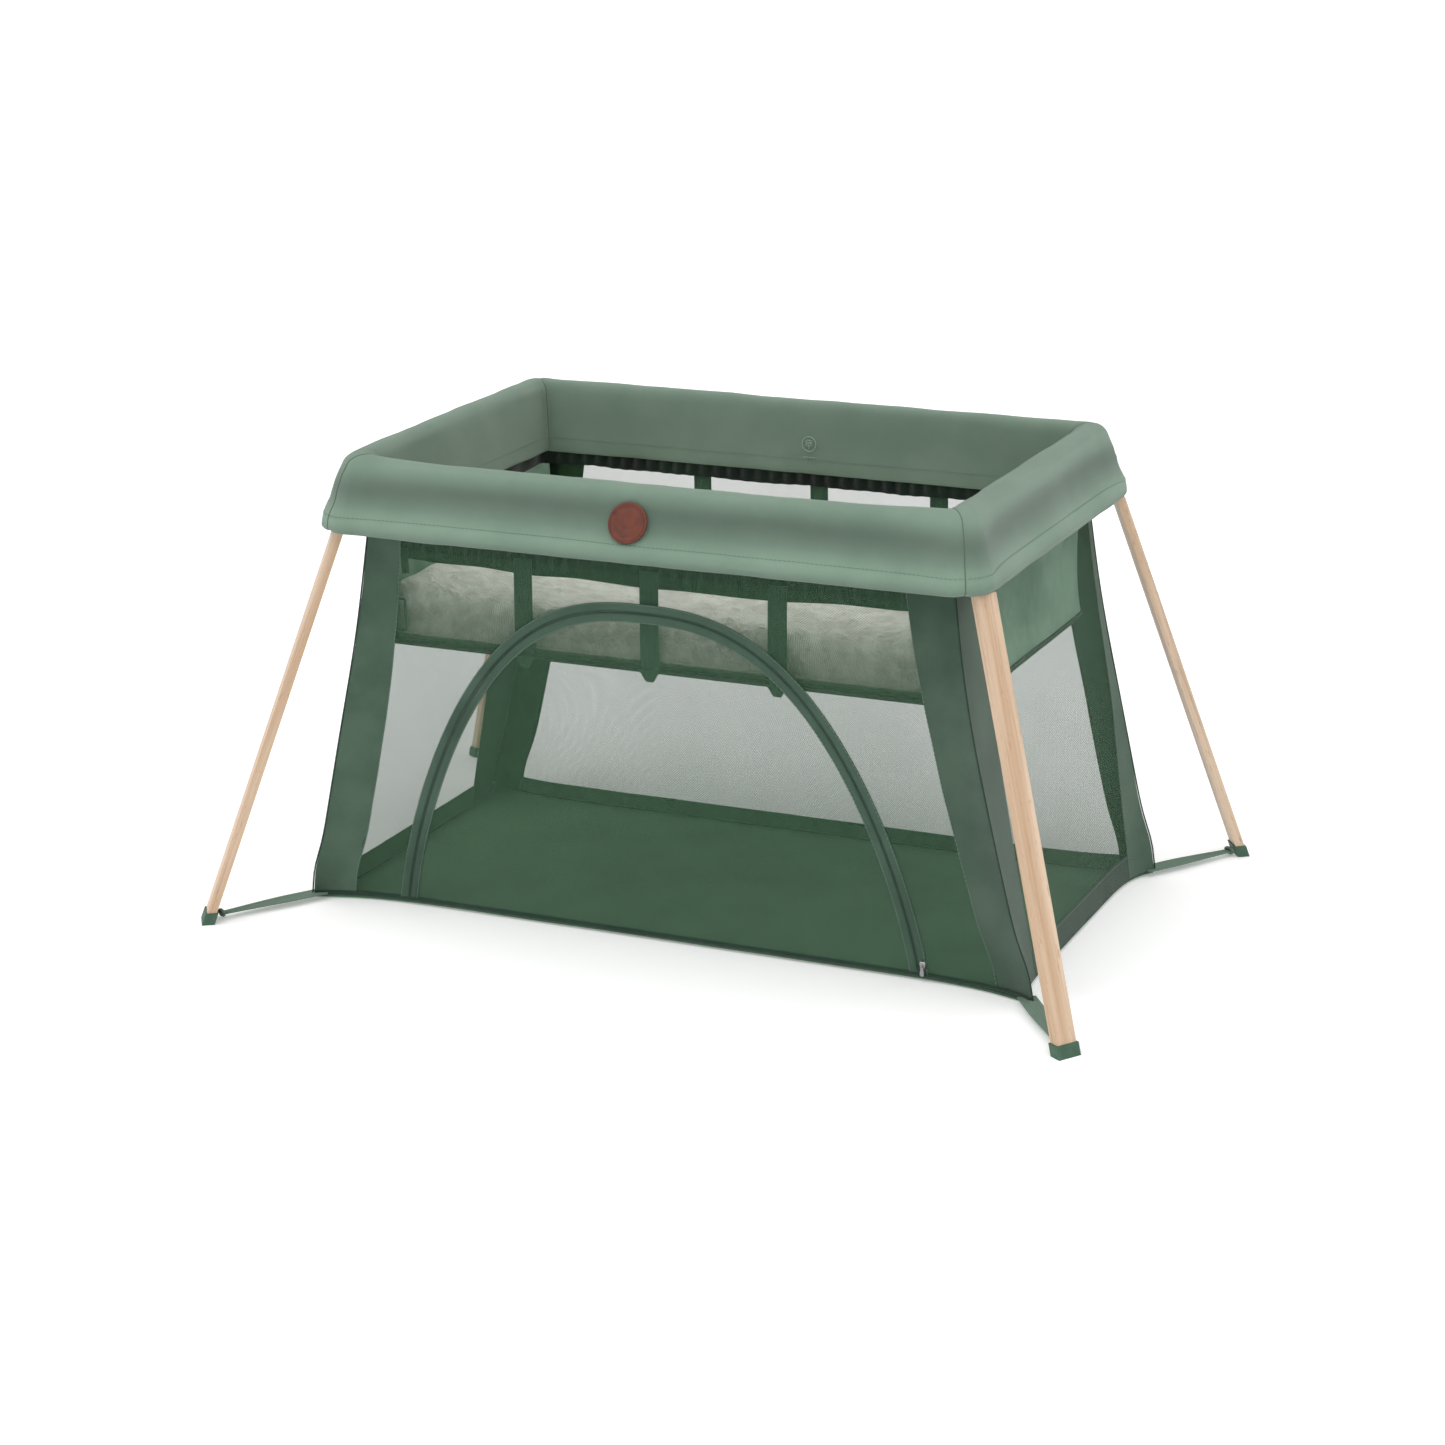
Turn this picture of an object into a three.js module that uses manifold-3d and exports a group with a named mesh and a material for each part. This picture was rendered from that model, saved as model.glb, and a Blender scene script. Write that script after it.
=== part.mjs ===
// Folding playpen with splayed wooden legs, a padded rim, mesh walls, a zipped
// arch door and a hanging newborn bassinet.
// Millimetres, +Z up, origin on the ground under the middle of the pen.
// +X runs along the long side, -Y is the side with the door.
import * as THREE from 'three';
import { mergeVertices } from 'three/addons/utils/BufferGeometryUtils.js';
import Module from 'manifold-3d';

const wasm = await Module();
wasm.setup();

// ---- driving dimensions -------------------------------------------------
const GAP = 0.3; // play kept between touching pieces
const SPLIT = 0.5; // each half stops this far from the middle plane
const SLACK = 0.5; // play of a spigot in its tube and of a leg beside its corner casting
const OVERSHOOT = 1; // how far a cut runs past the face it opens

const RAIL = { x: 420, y: 260.5, z: 611, radius: 10, bore: 8 };
const FOLD_Z = 625; // height of the fold axis
const ELBOW = { radius: 12, low: 599, high: 622, spigot: 28 };
const HINGE = { reach: 48, width: 15, foot: 601, top: 620, spigot: 28, seat: 2 };
const HINGE_AXLE = { lug: 5.5, relief: 6.1, pin: 2.2, proud: 0.8, pitch: 3.6, web: 12, webDrop: 6 };
const BUTTON = { x: -26, length: 14, width: 9, low: 592, high: 606, pocket: 612, play: 0.4 };

// Outlines of the rim cover from its outer hem, over the top, to its inner hem.
const RIM_OUTSIDE = [
  { x: 472, y: 319, z: 542, r: 50 },
  { x: 460, y: 304, z: 590, r: 40 },
  { x: 441, y: 281, z: 630, r: 30 },
  { x: 432, y: 271, z: 639.5, r: 24 },
  { x: 422, y: 261, z: 642, r: 18 },
  { x: 410, y: 251, z: 638.5, r: 13 },
  { x: 402, y: 245, z: 628, r: 9 },
  { x: 392, y: 237, z: 515, r: 6 },
];
const RIM_LINING = [
  { x: 395, y: 240, z: 515, r: 8 },
  { x: 405, y: 248, z: 627, r: 11 },
  { x: 422, y: 261, z: 638, r: 17 },
  { x: 437.5, y: 277.5, z: 628, r: 28 },
  { x: 457, y: 301, z: 589, r: 38 },
  { x: 469, y: 316, z: 542, r: 48 },
];

const FOOT = { x: 613.8, y: 403 }; // middle of the sole
const LEG_TOP = { x: 454.2, y: 278.2, z: 540 }; // a second point on the leg's middle line
const LEG = { width: 30, thickness: 12.5, facing: 56, top: 541, bottom: 16 };
const FOOT_CAP = { width: 34, thickness: 16.4 };
const PIVOT = { z: 575, pin: 4, bore: 4.35, head: 7, headThickness: 3, overlap: 1 };
const KNUCKLE = { half: 8.6, above: 13 };
const EAR = { thickness: 8, radius: 11, root: 3, taper: 2, turn: 0.35, facets: 8 };
const STRAP = { width: 25, end: 14, thickness: 1.6, z: 8, lift: 1, start: 5, clear: 3 };
const STRAP_WAIST = { share: 0.6, width: 0.9 };

const WALL = { top: 556, bottom: 7, thickness: 2 };
const CORNER_TOP = 540; // height where the wall corners are measured from
const FLOOR = { low: 2, high: 6 };
const END_WALL_INSET = 8; // the end walls stop this far short of the long walls
const FLOOR_INSET = 0.6;
const ARCH = { x: -14.5, half: 376, height: 462, steps: 14, sharpness: 1.3, fullness: 2.55 };
const ARCH_CUT = { below: -5, near: -200, far: -300 };
const DOOR_GAP = 0.6;

const BASSINET = { x: 402, xLow: 424, y: 248, r: 14, rLow: 30, top: 560, floor: 376, skin: 2, pad: 3 };
const MATTRESS = { x: 404, y: 238, r: 20, low: 379.5, high: 448 };

const BADGE = { x: -17.6, radius: 27, thickness: 2.4, height: 589.5, lift: 0.4 };
const SLIDER = { x: 367, z: 22, width: 9, height: 13, depth: 4.4, gap: 1.1 };
const PULL = { width: 6, length: 14, thickness: 1.4, lift: 0.4, lap: 1 };

// ---- materials ----------------------------------------------------------
const finish = (color, roughness, metalness = 0) =>
  new THREE.MeshStandardMaterial({ color, roughness, metalness });
const MATERIAL = {
  rim: finish('#7f9986', 0.85),
  wall: finish('#587461', 0.9),
  door: finish('#9fb0a4', 0.9),
  floor: finish('#425a48', 0.9),
  bassinet: finish('#6d8a76', 0.9),
  mattress: finish('#b8b3ae', 0.95),
  webbing: finish('#6f8a78', 0.85),
  wood: finish('#dec4aa', 0.6),
  plastic: finish('#57735f', 0.6),
  dark: finish('#2d3a33', 0.55),
  tube: finish('#a9adaf', 0.35, 0.9),
  steel: finish('#8f9294', 0.35, 0.9),
  leather: finish('#7d3c2d', 0.6),
};

const group = new THREE.Group();

function addMesh(name, geometry, material) {
  const mesh = new THREE.Mesh(geometry, material);
  mesh.name = name;
  group.add(mesh);
  return mesh;
}

// ---- closed bodies ------------------------------------------------------
function triangleGeometry(points, triangles) {
  const geometry = new THREE.BufferGeometry();
  const values = points.flatMap((p) => p.toArray());
  geometry.setAttribute('position', new THREE.Float32BufferAttribute(values, 3));
  geometry.setIndex(triangles.flat());
  return geometry;
}

function signedVolume(points, triangles) {
  const cross = new THREE.Vector3();
  return triangles.reduce((sum, [a, b, c]) =>
    sum + cross.crossVectors(points[b], points[c]).dot(points[a]) / 6, 0);
}

// Triangles that close a ring of points, found in the plane the ring lies in.
function capRing(ring, offset) {
  const normal = new THREE.Vector3();
  ring.forEach((p, i) => normal.add(new THREE.Vector3().crossVectors(p, ring[(i + 1) % ring.length])));
  normal.normalize();
  const across = new THREE.Vector3().subVectors(ring[1], ring[0]).normalize();
  const up = new THREE.Vector3().crossVectors(normal, across).normalize();
  const flat = ring.map((p) => new THREE.Vector2(p.dot(across), p.dot(up)));
  return THREE.ShapeUtils.triangulateShape(flat, []).map((t) => t.map((i) => i + offset));
}

// A closed body through matching rings of points, capped at both ends.
function loft(rings) {
  const count = rings[0].length;
  const points = rings.flat();
  const triangles = capRing(rings[0], 0).map(([a, b, c]) => [c, b, a]);
  for (let i = 0; i + 1 < rings.length; i += 1) {
    for (let j = 0; j < count; j += 1) {
      const k = (j + 1) % count;
      const [a, b, c, d] = [i * count + j, i * count + k, (i + 1) * count + k, (i + 1) * count + j];
      triangles.push([a, b, c], [a, c, d]);
    }
  }
  triangles.push(...capRing(rings.at(-1), (rings.length - 1) * count));
  const inward = signedVolume(points, triangles) < 0;
  return triangleGeometry(points, inward ? triangles.map(([a, b, c]) => [c, b, a]) : triangles);
}

function toManifold(geometry) {
  const bare = geometry.clone();
  bare.deleteAttribute('normal');
  bare.deleteAttribute('uv');
  const merged = mergeVertices(bare, 1e-4);
  return new wasm.Manifold(new wasm.Mesh({
    numProp: 3,
    vertProperties: new Float32Array(merged.attributes.position.array),
    triVerts: new Uint32Array(merged.index.array),
  }));
}

function fromManifold(solid) {
  const { vertProperties, triVerts } = solid.getMesh();
  const geometry = new THREE.BufferGeometry();
  geometry.setAttribute('position', new THREE.BufferAttribute(vertProperties, 3));
  geometry.setIndex(new THREE.BufferAttribute(triVerts, 1));
  return geometry;
}

function block(low, high) {
  const size = high.map((value, i) => value - low[i]);
  const centre = high.map((value, i) => (value + low[i]) / 2);
  return toManifold(new THREE.BoxGeometry(...size).translate(...centre));
}

// A cylinder from one point to another.
function rod(from, to, radius, sides = 16) {
  const axis = new THREE.Vector3().subVectors(to, from);
  const geometry = new THREE.CylinderGeometry(radius, radius, axis.length(), sides);
  const upright = new THREE.Vector3(0, 1, 0);
  const turn = new THREE.Quaternion().setFromUnitVectors(upright, axis.clone().normalize());
  geometry.applyQuaternion(turn).translate(...from.clone().addScaledVector(axis, 0.5).toArray());
  return toManifold(geometry);
}

const point = (x, y, z) => new THREE.Vector3(x, y, z);

// ---- the four corners and two halves ------------------------------------
const SIDES = [{ side: 'left', sx: -1 }, { side: 'right', sx: 1 }];
const EDGES = [{ edge: 'front', sy: -1 }, { edge: 'back', sy: 1 }];
const CORNERS = EDGES.flatMap((e) => SIDES.map((s) => ({ ...e, ...s })));

// ---- top frame ----------------------------------------------------------
// A round tube lying along Y, moved and turned by the caller.
function tube(length) {
  const { radius, bore } = RAIL;
  const half = length / 2;
  const profile = [[bore, -half], [radius, -half], [radius, half], [bore, half], [bore, -half]];
  return new THREE.LatheGeometry(profile.map(([r, y]) => new THREE.Vector2(r, y)), 20);
}

const LONG_TUBE = { from: HINGE.reach + GAP, to: RAIL.x - ELBOW.radius - GAP };
const END_TUBE = 2 * (RAIL.y - ELBOW.radius - GAP);

function addLongRails() {
  CORNERS.forEach(({ edge, side, sx, sy }) => {
    const rail = addMesh(`${edge}_rail_${side}`, tube(LONG_TUBE.to - LONG_TUBE.from), MATERIAL.tube);
    rail.rotation.z = Math.PI / 2;
    rail.position.set(sx * (LONG_TUBE.from + LONG_TUBE.to) / 2, sy * RAIL.y, RAIL.z);
  });
}

function addEndRails() {
  SIDES.forEach(({ side, sx }) => {
    const rail = addMesh(`end_rail_${side}`, tube(END_TUBE), MATERIAL.tube);
    rail.position.set(sx * RAIL.x, 0, RAIL.z);
  });
}

// ---- centre hinges ------------------------------------------------------
function hingeHalf(sy, sx) {
  const y = sy * RAIL.y;
  const across = HINGE.width / 2;
  const { lug, relief, pin, pitch, web, webDrop } = HINGE_AXLE;
  const [near, far] = [sx * SPLIT, sx * HINGE.reach].sort((a, b) => a - b);
  const axle = (radius, a, b) => rod(point(0, y + a, FOLD_Z), point(0, y + b, FOLD_Z), radius);
  const spigotStart = point(sx * (HINGE.reach - HINGE.seat), y, RAIL.z);
  const spigotEnd = point(sx * (HINGE.reach + HINGE.spigot), y, RAIL.z);
  let body = block([near, y - across, HINGE.foot], [far, y + across, HINGE.top])
    .add(rod(spigotStart, spigotEnd, RAIL.bore - SLACK))
    .subtract(axle(relief, -across - OVERSHOOT, across + OVERSHOOT));
  const lugs = sx > 0 ? [[-pitch + GAP, pitch - GAP]] : [[-across, -pitch], [pitch, across]];
  lugs.forEach(([a, b]) => {
    const low = [Math.min(0, sx * web), y + a, HINGE.top - webDrop];
    const high = [Math.max(0, sx * web), y + b, FOLD_Z];
    body = body.add(axle(lug, a, b)).add(block(low, high));
  });
  return body.subtract(axle(pin + GAP, -across - OVERSHOOT, across + OVERSHOOT));
}

function addHinges() {
  EDGES.forEach(({ edge, sy }) => {
    const y = sy * RAIL.y;
    const halfPocket = (size) => size / 2 + BUTTON.play;
    const pocket = block(
      [BUTTON.x - halfPocket(BUTTON.length), y - halfPocket(BUTTON.width), HINGE.foot - OVERSHOOT],
      [BUTTON.x + halfPocket(BUTTON.length), y + halfPocket(BUTTON.width), BUTTON.pocket],
    );
    addMesh(`hinge_${edge}_left`, fromManifold(hingeHalf(sy, -1).subtract(pocket)), MATERIAL.dark);
    addMesh(`hinge_${edge}_right`, fromManifold(hingeHalf(sy, 1)), MATERIAL.dark);
    const reach = HINGE.width / 2 + HINGE_AXLE.proud;
    const pin = rod(point(0, y - reach, FOLD_Z), point(0, y + reach, FOLD_Z), HINGE_AXLE.pin);
    addMesh(`hinge_pin_${edge}`, fromManifold(pin), MATERIAL.steel);
    const button = new THREE.BoxGeometry(BUTTON.length, BUTTON.width, BUTTON.high - BUTTON.low);
    addMesh(`latch_button_${edge}`, button, MATERIAL.plastic)
      .position.set(BUTTON.x, y, (BUTTON.low + BUTTON.high) / 2);
  });
}

// ---- legs ---------------------------------------------------------------
// Leg directions for the corner at +X, -Y; the others are mirrored.
function legFrame(sx, sy) {
  const foot = point(sx * FOOT.x, sy * FOOT.y, 0);
  const top = point(sx * LEG_TOP.x, sy * LEG_TOP.y, LEG_TOP.z);
  const down = new THREE.Vector3().subVectors(foot, top).normalize();
  const turn = THREE.MathUtils.degToRad(LEG.facing);
  const face = point(sx * Math.sin(turn), sy * Math.cos(turn), 0);
  face.addScaledVector(down, -face.dot(down)).normalize();
  const wide = new THREE.Vector3().crossVectors(down, face);
  const pin = new THREE.Vector3().crossVectors(down, point(-sx, 0, 0)).normalize();
  const inward = pin.clone().multiplyScalar(Math.sign(pin.y) * -sy);
  const at = (z) => foot.clone().addScaledVector(down, -z / -down.z);
  return { down, face, wide, inward, at };
}

// A bar along the leg's line, cut level at both ends.
function levelBar(frame, width, thickness, low, high) {
  const ring = (z) => [[1, 1], [-1, 1], [-1, -1], [1, -1]].map(([w, t]) => {
    const side = frame.wide.clone().multiplyScalar(w * width / 2)
      .addScaledVector(frame.face, t * thickness / 2);
    return frame.at(z).add(side).addScaledVector(frame.down, -side.z / frame.down.z);
  });
  return loft([ring(low), ring(high)]);
}

function knuckle(frame, pivot) {
  const across = new THREE.Vector3().crossVectors(frame.inward, frame.down).normalize();
  const { half, above } = KNUCKLE;
  const length = (PIVOT.z - LEG.top - GAP) / -frame.down.z;
  const corners = [[1, 1], [-1, 1], [-1, -1], [1, -1]];
  const ring = (along, level) => corners.map(([a, b]) => {
    const p = pivot.clone().addScaledVector(frame.inward, a * half).addScaledVector(across, b * half);
    const drop = level ? (LEG.top + GAP - p.z) / frame.down.z : along;
    return p.addScaledVector(frame.down, drop);
  });
  const body = toManifold(loft([ring(-above, false), ring(length, true)]));
  const bore = rod(
    pivot.clone().addScaledVector(frame.inward, -half - OVERSHOOT),
    pivot.clone().addScaledVector(frame.inward, half + OVERSHOOT),
    PIVOT.bore,
  );
  return fromManifold(body.subtract(bore));
}

function pivotPin(frame, pivot) {
  const at = (along) => pivot.clone().addScaledVector(frame.inward, along);
  const face = KNUCKLE.half + SLACK;
  const head = rod(at(-face - PIVOT.headThickness), at(-face), PIVOT.head);
  const shank = rod(at(-face - PIVOT.overlap), at(face + EAR.thickness), PIVOT.pin);
  return fromManifold(head.add(shank));
}

// Corner casting: a block with a spigot for each rail and an ear for the leg's pin.
function elbow(sx, sy, frame, pivot) {
  const x = sx * RAIL.x;
  const y = sy * RAIL.y;
  const reach = ELBOW.radius + ELBOW.spigot;
  const middle = point(x, y, RAIL.z);
  let body = rod(point(x, y, ELBOW.low), point(x, y, ELBOW.high), ELBOW.radius, 20)
    .add(rod(middle, point(x - sx * reach, y, RAIL.z), RAIL.bore - SLACK))
    .add(rod(middle, point(x, y - sy * reach, RAIL.z), RAIL.bore - SLACK));
  const rise = point(0, -sy * Math.abs(frame.inward.z), Math.abs(frame.inward.y));
  const shape = [];
  for (let i = 0; i <= EAR.facets; i += 1) {
    const angle = Math.PI * (1 + i / EAR.facets) + EAR.turn;
    shape.push([Math.cos(angle) * EAR.radius, Math.sin(angle) * EAR.radius]);
  }
  const overlap = (ELBOW.low + EAR.root - PIVOT.z) / rise.z;
  const hub = RAIL.x - Math.abs(pivot.x);
  const half = EAR.radius - EAR.taper;
  shape.push([hub + half, overlap], [hub - half, overlap]);
  const ring = (along) => shape.map(([u, v]) => pivot.clone()
    .addScaledVector(frame.inward, along).addScaledVector(rise, v).add(point(sx * u, 0, 0)));
  const inner = KNUCKLE.half + SLACK;
  body = body.add(toManifold(loft([ring(inner), ring(inner + EAR.thickness)])));
  const bore = rod(
    pivot.clone().addScaledVector(frame.inward, inner - OVERSHOOT),
    pivot.clone().addScaledVector(frame.inward, inner + EAR.thickness + OVERSHOOT),
    PIVOT.bore,
  );
  return fromManifold(body.subtract(bore));
}

// Flat webbing that ties a foot to the pen's lower corner.
function footStrap(sx, sy) {
  const corner = wallCorner(STRAP.z);
  const start = point(sx * corner.x, sy * corner.y, STRAP.z + STRAP.lift);
  const run = new THREE.Vector3().subVectors(point(sx * FOOT.x, sy * FOOT.y, STRAP.z), start);
  run.z = 0;
  const length = run.length();
  run.normalize();
  const side = new THREE.Vector3().crossVectors(run, point(0, 0, 1));
  const ring = (along, width) => [[1, 1], [-1, 1], [-1, -1], [1, -1]].map(([a, b]) =>
    start.clone().addScaledVector(run, along).addScaledVector(side, a * width / 2)
      .add(point(0, 0, b * STRAP.thickness / 2)));
  const footReach = FOOT_CAP.width / 2 + STRAP.clear;
  return loft([
    ring(STRAP.start, STRAP.width),
    ring(length * STRAP_WAIST.share, STRAP.width * STRAP_WAIST.width),
    ring(length - footReach, STRAP.end),
  ]);
}

function addLegs() {
  CORNERS.forEach(({ edge, side, sx, sy }) => {
    const name = `${edge}_${side}`;
    const frame = legFrame(sx, sy);
    const pivot = frame.at(PIVOT.z);
    addMesh(`elbow_${name}`, elbow(sx, sy, frame, pivot), MATERIAL.dark);
    addMesh(`pivot_pin_${name}`, pivotPin(frame, pivot), MATERIAL.steel);
    addMesh(`leg_knuckle_${name}`, knuckle(frame, pivot), MATERIAL.dark);
    addMesh(`leg_${name}`, levelBar(frame, LEG.width, LEG.thickness, LEG.bottom, LEG.top), MATERIAL.wood);
    const cap = levelBar(frame, FOOT_CAP.width, FOOT_CAP.thickness, 0, LEG.bottom - GAP);
    addMesh(`foot_${name}`, cap, MATERIAL.plastic);
    addMesh(`foot_strap_${name}`, footStrap(sx, sy), MATERIAL.webbing);
  });
}

// ---- padded rim cover ---------------------------------------------------
// Half of a rounded rectangle, from the middle of the front to the middle of the back.
function halfLoop({ x, y, r }, sx, steps) {
  const points = [[SPLIT, -y]];
  [[x - r, -(y - r), -90], [x - r, y - r, 0]].forEach(([cx, cy, start]) => {
    for (let i = 0; i <= steps; i += 1) {
      const angle = THREE.MathUtils.degToRad(start + (90 * i) / steps);
      points.push([cx + r * Math.cos(angle), cy + r * Math.sin(angle)]);
    }
  });
  points.push([SPLIT, y]);
  return points.map(([px, py]) => [sx * px, py]);
}

function addRimCovers() {
  SIDES.forEach(({ side, sx }) => {
    const outlines = [...RIM_OUTSIDE, ...RIM_LINING].map((o) => ({ z: o.z, loop: halfLoop(o, sx, 5) }));
    const rings = outlines[0].loop.map((_, i) => outlines.map(({ z, loop }) => point(...loop[i], z)));
    addMesh(`rim_cover_${side}`, loft(rings), MATERIAL.rim);
  });
}

function addBadge() {
  const [hem, shoulder] = RIM_OUTSIDE;
  const up = point(0, hem.y - shoulder.y, shoulder.z - hem.z).normalize();
  const out = point(0, -up.z, up.y);
  const { x, radius, thickness, height } = BADGE;
  const share = (height - hem.z) / (shoulder.z - hem.z);
  const centre = point(x, -THREE.MathUtils.lerp(hem.y, shoulder.y, share), height);
  const from = centre.clone().addScaledVector(out, BADGE.lift);
  const badge = rod(from, from.clone().addScaledVector(out, thickness), radius, 40);
  addMesh('badge', fromManifold(badge), MATERIAL.leather);
}

// ---- fabric walls -------------------------------------------------------
// Corner of the pen's fabric at a height: it leans out towards the ground.
function wallCorner(z) {
  const t = (CORNER_TOP - z) / CORNER_TOP;
  return { x: 414.7 + 79.4 * t + 32.4 * t * t, y: 270 + 34.6 * t - 36.6 * t * t };
}

// Outer face of a long wall: nearly flat, drawn out to the corners near the ground.
function longWallY(x, z) {
  const corner = wallCorner(z);
  const t = (CORNER_TOP - z) / CORNER_TOP;
  const middle = 270 - 34 * t;
  return middle + (corner.y - middle) * Math.min(1, Math.abs(x) / corner.x) ** 10;
}

// Outer face of an end wall, the same way.
function endWallX(y, z) {
  const corner = wallCorner(z);
  const t = (CORNER_TOP - z) / CORNER_TOP;
  const middle = 414.7 + 74 * t + 12 * t * t;
  return middle + (corner.x - middle) * Math.min(1, Math.abs(y) / corner.y) ** 8;
}

const heights = (low, high, steps) =>
  Array.from({ length: steps + 1 }, (_, i) => low + ((high - low) * i) / steps);

// One long wall's half: rings across X, each a thin upright section.
function longWall(sx, sy) {
  const levels = heights(WALL.bottom, WALL.top, 6);
  const shares = [0, 0.25, 0.5, 0.7, 0.82, 0.9, 0.96, 1];
  const rings = shares.map((share) => {
    const x = (z) => SPLIT + share * (wallCorner(z).x - SPLIT);
    const outer = levels.map((z) => point(sx * x(z), sy * longWallY(x(z), z), z));
    const inner = levels.map((z) => point(sx * x(z), sy * (longWallY(x(z), z) - WALL.thickness), z));
    return [...outer, ...inner.reverse()];
  });
  return loft(rings);
}

function endWall(sx) {
  const levels = heights(WALL.bottom, WALL.top, 6);
  const shares = [-1, -0.93, -0.84, -0.7, -0.4, 0, 0.4, 0.7, 0.84, 0.93, 1];
  const rings = shares.map((share) => {
    const y = (z) => share * (wallCorner(z).y - END_WALL_INSET);
    const outer = levels.map((z) => point(sx * endWallX(y(z), z), y(z), z));
    const inner = levels.map((z) => point(sx * (endWallX(y(z), z) - WALL.thickness), y(z), z));
    return [...outer, ...inner.reverse()];
  });
  return loft(rings);
}

// Half width of the arch door at a share of its height.
const archHalf = (share, half) => half * (1 - share ** ARCH.sharpness) ** (1 / ARCH.fullness);

// A prism through the front wall with the arch's outline.
function archPrism(grow) {
  const half = ARCH.half + grow;
  const height = ARCH.height + grow;
  const outline = [];
  for (let i = 0; i <= ARCH.steps; i += 1) {
    const share = Math.sin((Math.PI / 2) * (i / ARCH.steps));
    outline.push([archHalf(Math.min(1, share), half), share * height]);
  }
  const left = outline.slice(0, -1).reverse().map(([x, z]) => [-x, z]);
  const all = [[half, ARCH_CUT.below], ...outline, ...left, [-half, ARCH_CUT.below]];
  const ring = (y) => all.map(([x, z]) => point(ARCH.x + x, y, z));
  return toManifold(loft([ring(ARCH_CUT.far), ring(ARCH_CUT.near)]));
}

function addWalls() {
  SIDES.forEach(({ side, sx }) => {
    addMesh(`back_wall_${side}`, longWall(sx, 1), MATERIAL.wall);
    addMesh(`end_wall_${side}`, endWall(sx), MATERIAL.wall);
    const front = toManifold(longWall(sx, -1));
    addMesh(`front_wall_${side}`, fromManifold(front.subtract(archPrism(DOOR_GAP))), MATERIAL.wall);
    addMesh(`door_${side}`, fromManifold(front.intersect(archPrism(0))), MATERIAL.door);
  });
}

// ---- floor --------------------------------------------------------------
function addFloor() {
  SIDES.forEach(({ side, sx }) => {
    const z = FLOOR.high;
    const corner = wallCorner(z);
    const shares = [0, 0.3, 0.6, 0.8, 0.9, 0.96];
    const front = shares.map((s) => [SPLIT + s * corner.x, -longWallY(s * corner.x, z) + FLOOR_INSET]);
    const end = [-0.93, -0.84, -0.7, -0.35, 0, 0.35, 0.7, 0.84, 0.93]
      .map((s) => [endWallX(s * corner.y, z) - FLOOR_INSET, s * corner.y]);
    const tip = [corner.x - FLOOR_INSET, corner.y - FLOOR_INSET];
    const back = front.map(([x, y]) => [x, -y]).reverse();
    const outline = [...front, [tip[0], -tip[1]], ...end, tip, ...back];
    const ring = (level) => outline.map(([x, y]) => point(sx * x, y, level));
    addMesh(`floor_${side}`, loft([ring(FLOOR.low), ring(FLOOR.high)]), MATERIAL.floor);
  });
}

// ---- bassinet and its mattress ------------------------------------------
const HALF_SPACE = 900; // larger than the whole pen

function roundedRing({ x, y, r }, z, steps = 4) {
  const corners = [[1, -1, -90], [1, 1, 0], [-1, 1, 90], [-1, -1, 180]];
  return corners.flatMap(([sx, sy, start]) => Array.from({ length: steps + 1 }, (_, i) => {
    const angle = THREE.MathUtils.degToRad(start + (90 * i) / steps);
    return point(sx * (x - r) + r * Math.cos(angle), sy * (y - r) + r * Math.sin(angle), z);
  }));
}

function halfSpace(sx) {
  const [low, high] = [sx * SPLIT, sx * HALF_SPACE].sort((a, b) => a - b);
  return block([low, -HALF_SPACE, 0], [high, HALF_SPACE, HALF_SPACE]);
}

function addBassinet() {
  const { x, xLow, y, r, rLow, top, floor, skin, pad } = BASSINET;
  const outer = toManifold(loft([
    roundedRing({ x: xLow, y, r: rLow }, floor),
    roundedRing({ x, y, r }, top),
  ]));
  const inner = toManifold(loft([
    roundedRing({ x: xLow - skin, y: y - skin, r: rLow - skin }, floor + pad),
    roundedRing({ x: x - skin, y: y - skin, r: r - skin }, top + OVERSHOOT),
  ]));
  const tub = outer.subtract(inner);
  const mattress = toManifold(loft([
    roundedRing(MATTRESS, MATTRESS.low),
    roundedRing(MATTRESS, MATTRESS.high),
  ]));
  SIDES.forEach(({ side, sx }) => {
    addMesh(`bassinet_${side}`, fromManifold(tub.intersect(halfSpace(sx))), MATERIAL.bassinet);
    addMesh(`mattress_${side}`, fromManifold(mattress.intersect(halfSpace(sx))), MATERIAL.mattress);
  });
}

// ---- zip slider and its pull --------------------------------------------
function addZip() {
  const face = -longWallY(SLIDER.x, SLIDER.z) - SLIDER.gap;
  const { x, z, width, height, depth } = SLIDER;
  const body = block([x - width / 2, face - depth, z - height / 2], [x + width / 2, face, z + height / 2]);
  addMesh('zip_slider', fromManifold(body), MATERIAL.steel);
  const front = face - depth - PULL.lift;
  const pull = new THREE.BoxGeometry(PULL.width, PULL.thickness, PULL.length);
  addMesh('zip_pull', pull, MATERIAL.steel)
    .position.set(x, front - PULL.thickness / 2, z - PULL.length / 2 + PULL.lap);
}

addLongRails();
addEndRails();
addHinges();
addLegs();
addRimCovers();
addBadge();
addWalls();
addFloor();
addBassinet();
addZip();

export default group;
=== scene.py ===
"""Looks of a folding playpen: padded rim, splayed wooden legs, net walls, arch door, hanging bassinet.

Metres, +Z up. The fabric surfaces repeat the wall, rim and bassinet outlines of the CAD model.
"""
import math

import bpy
import numpy as np
from mathutils import Matrix, Vector, noise


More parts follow.
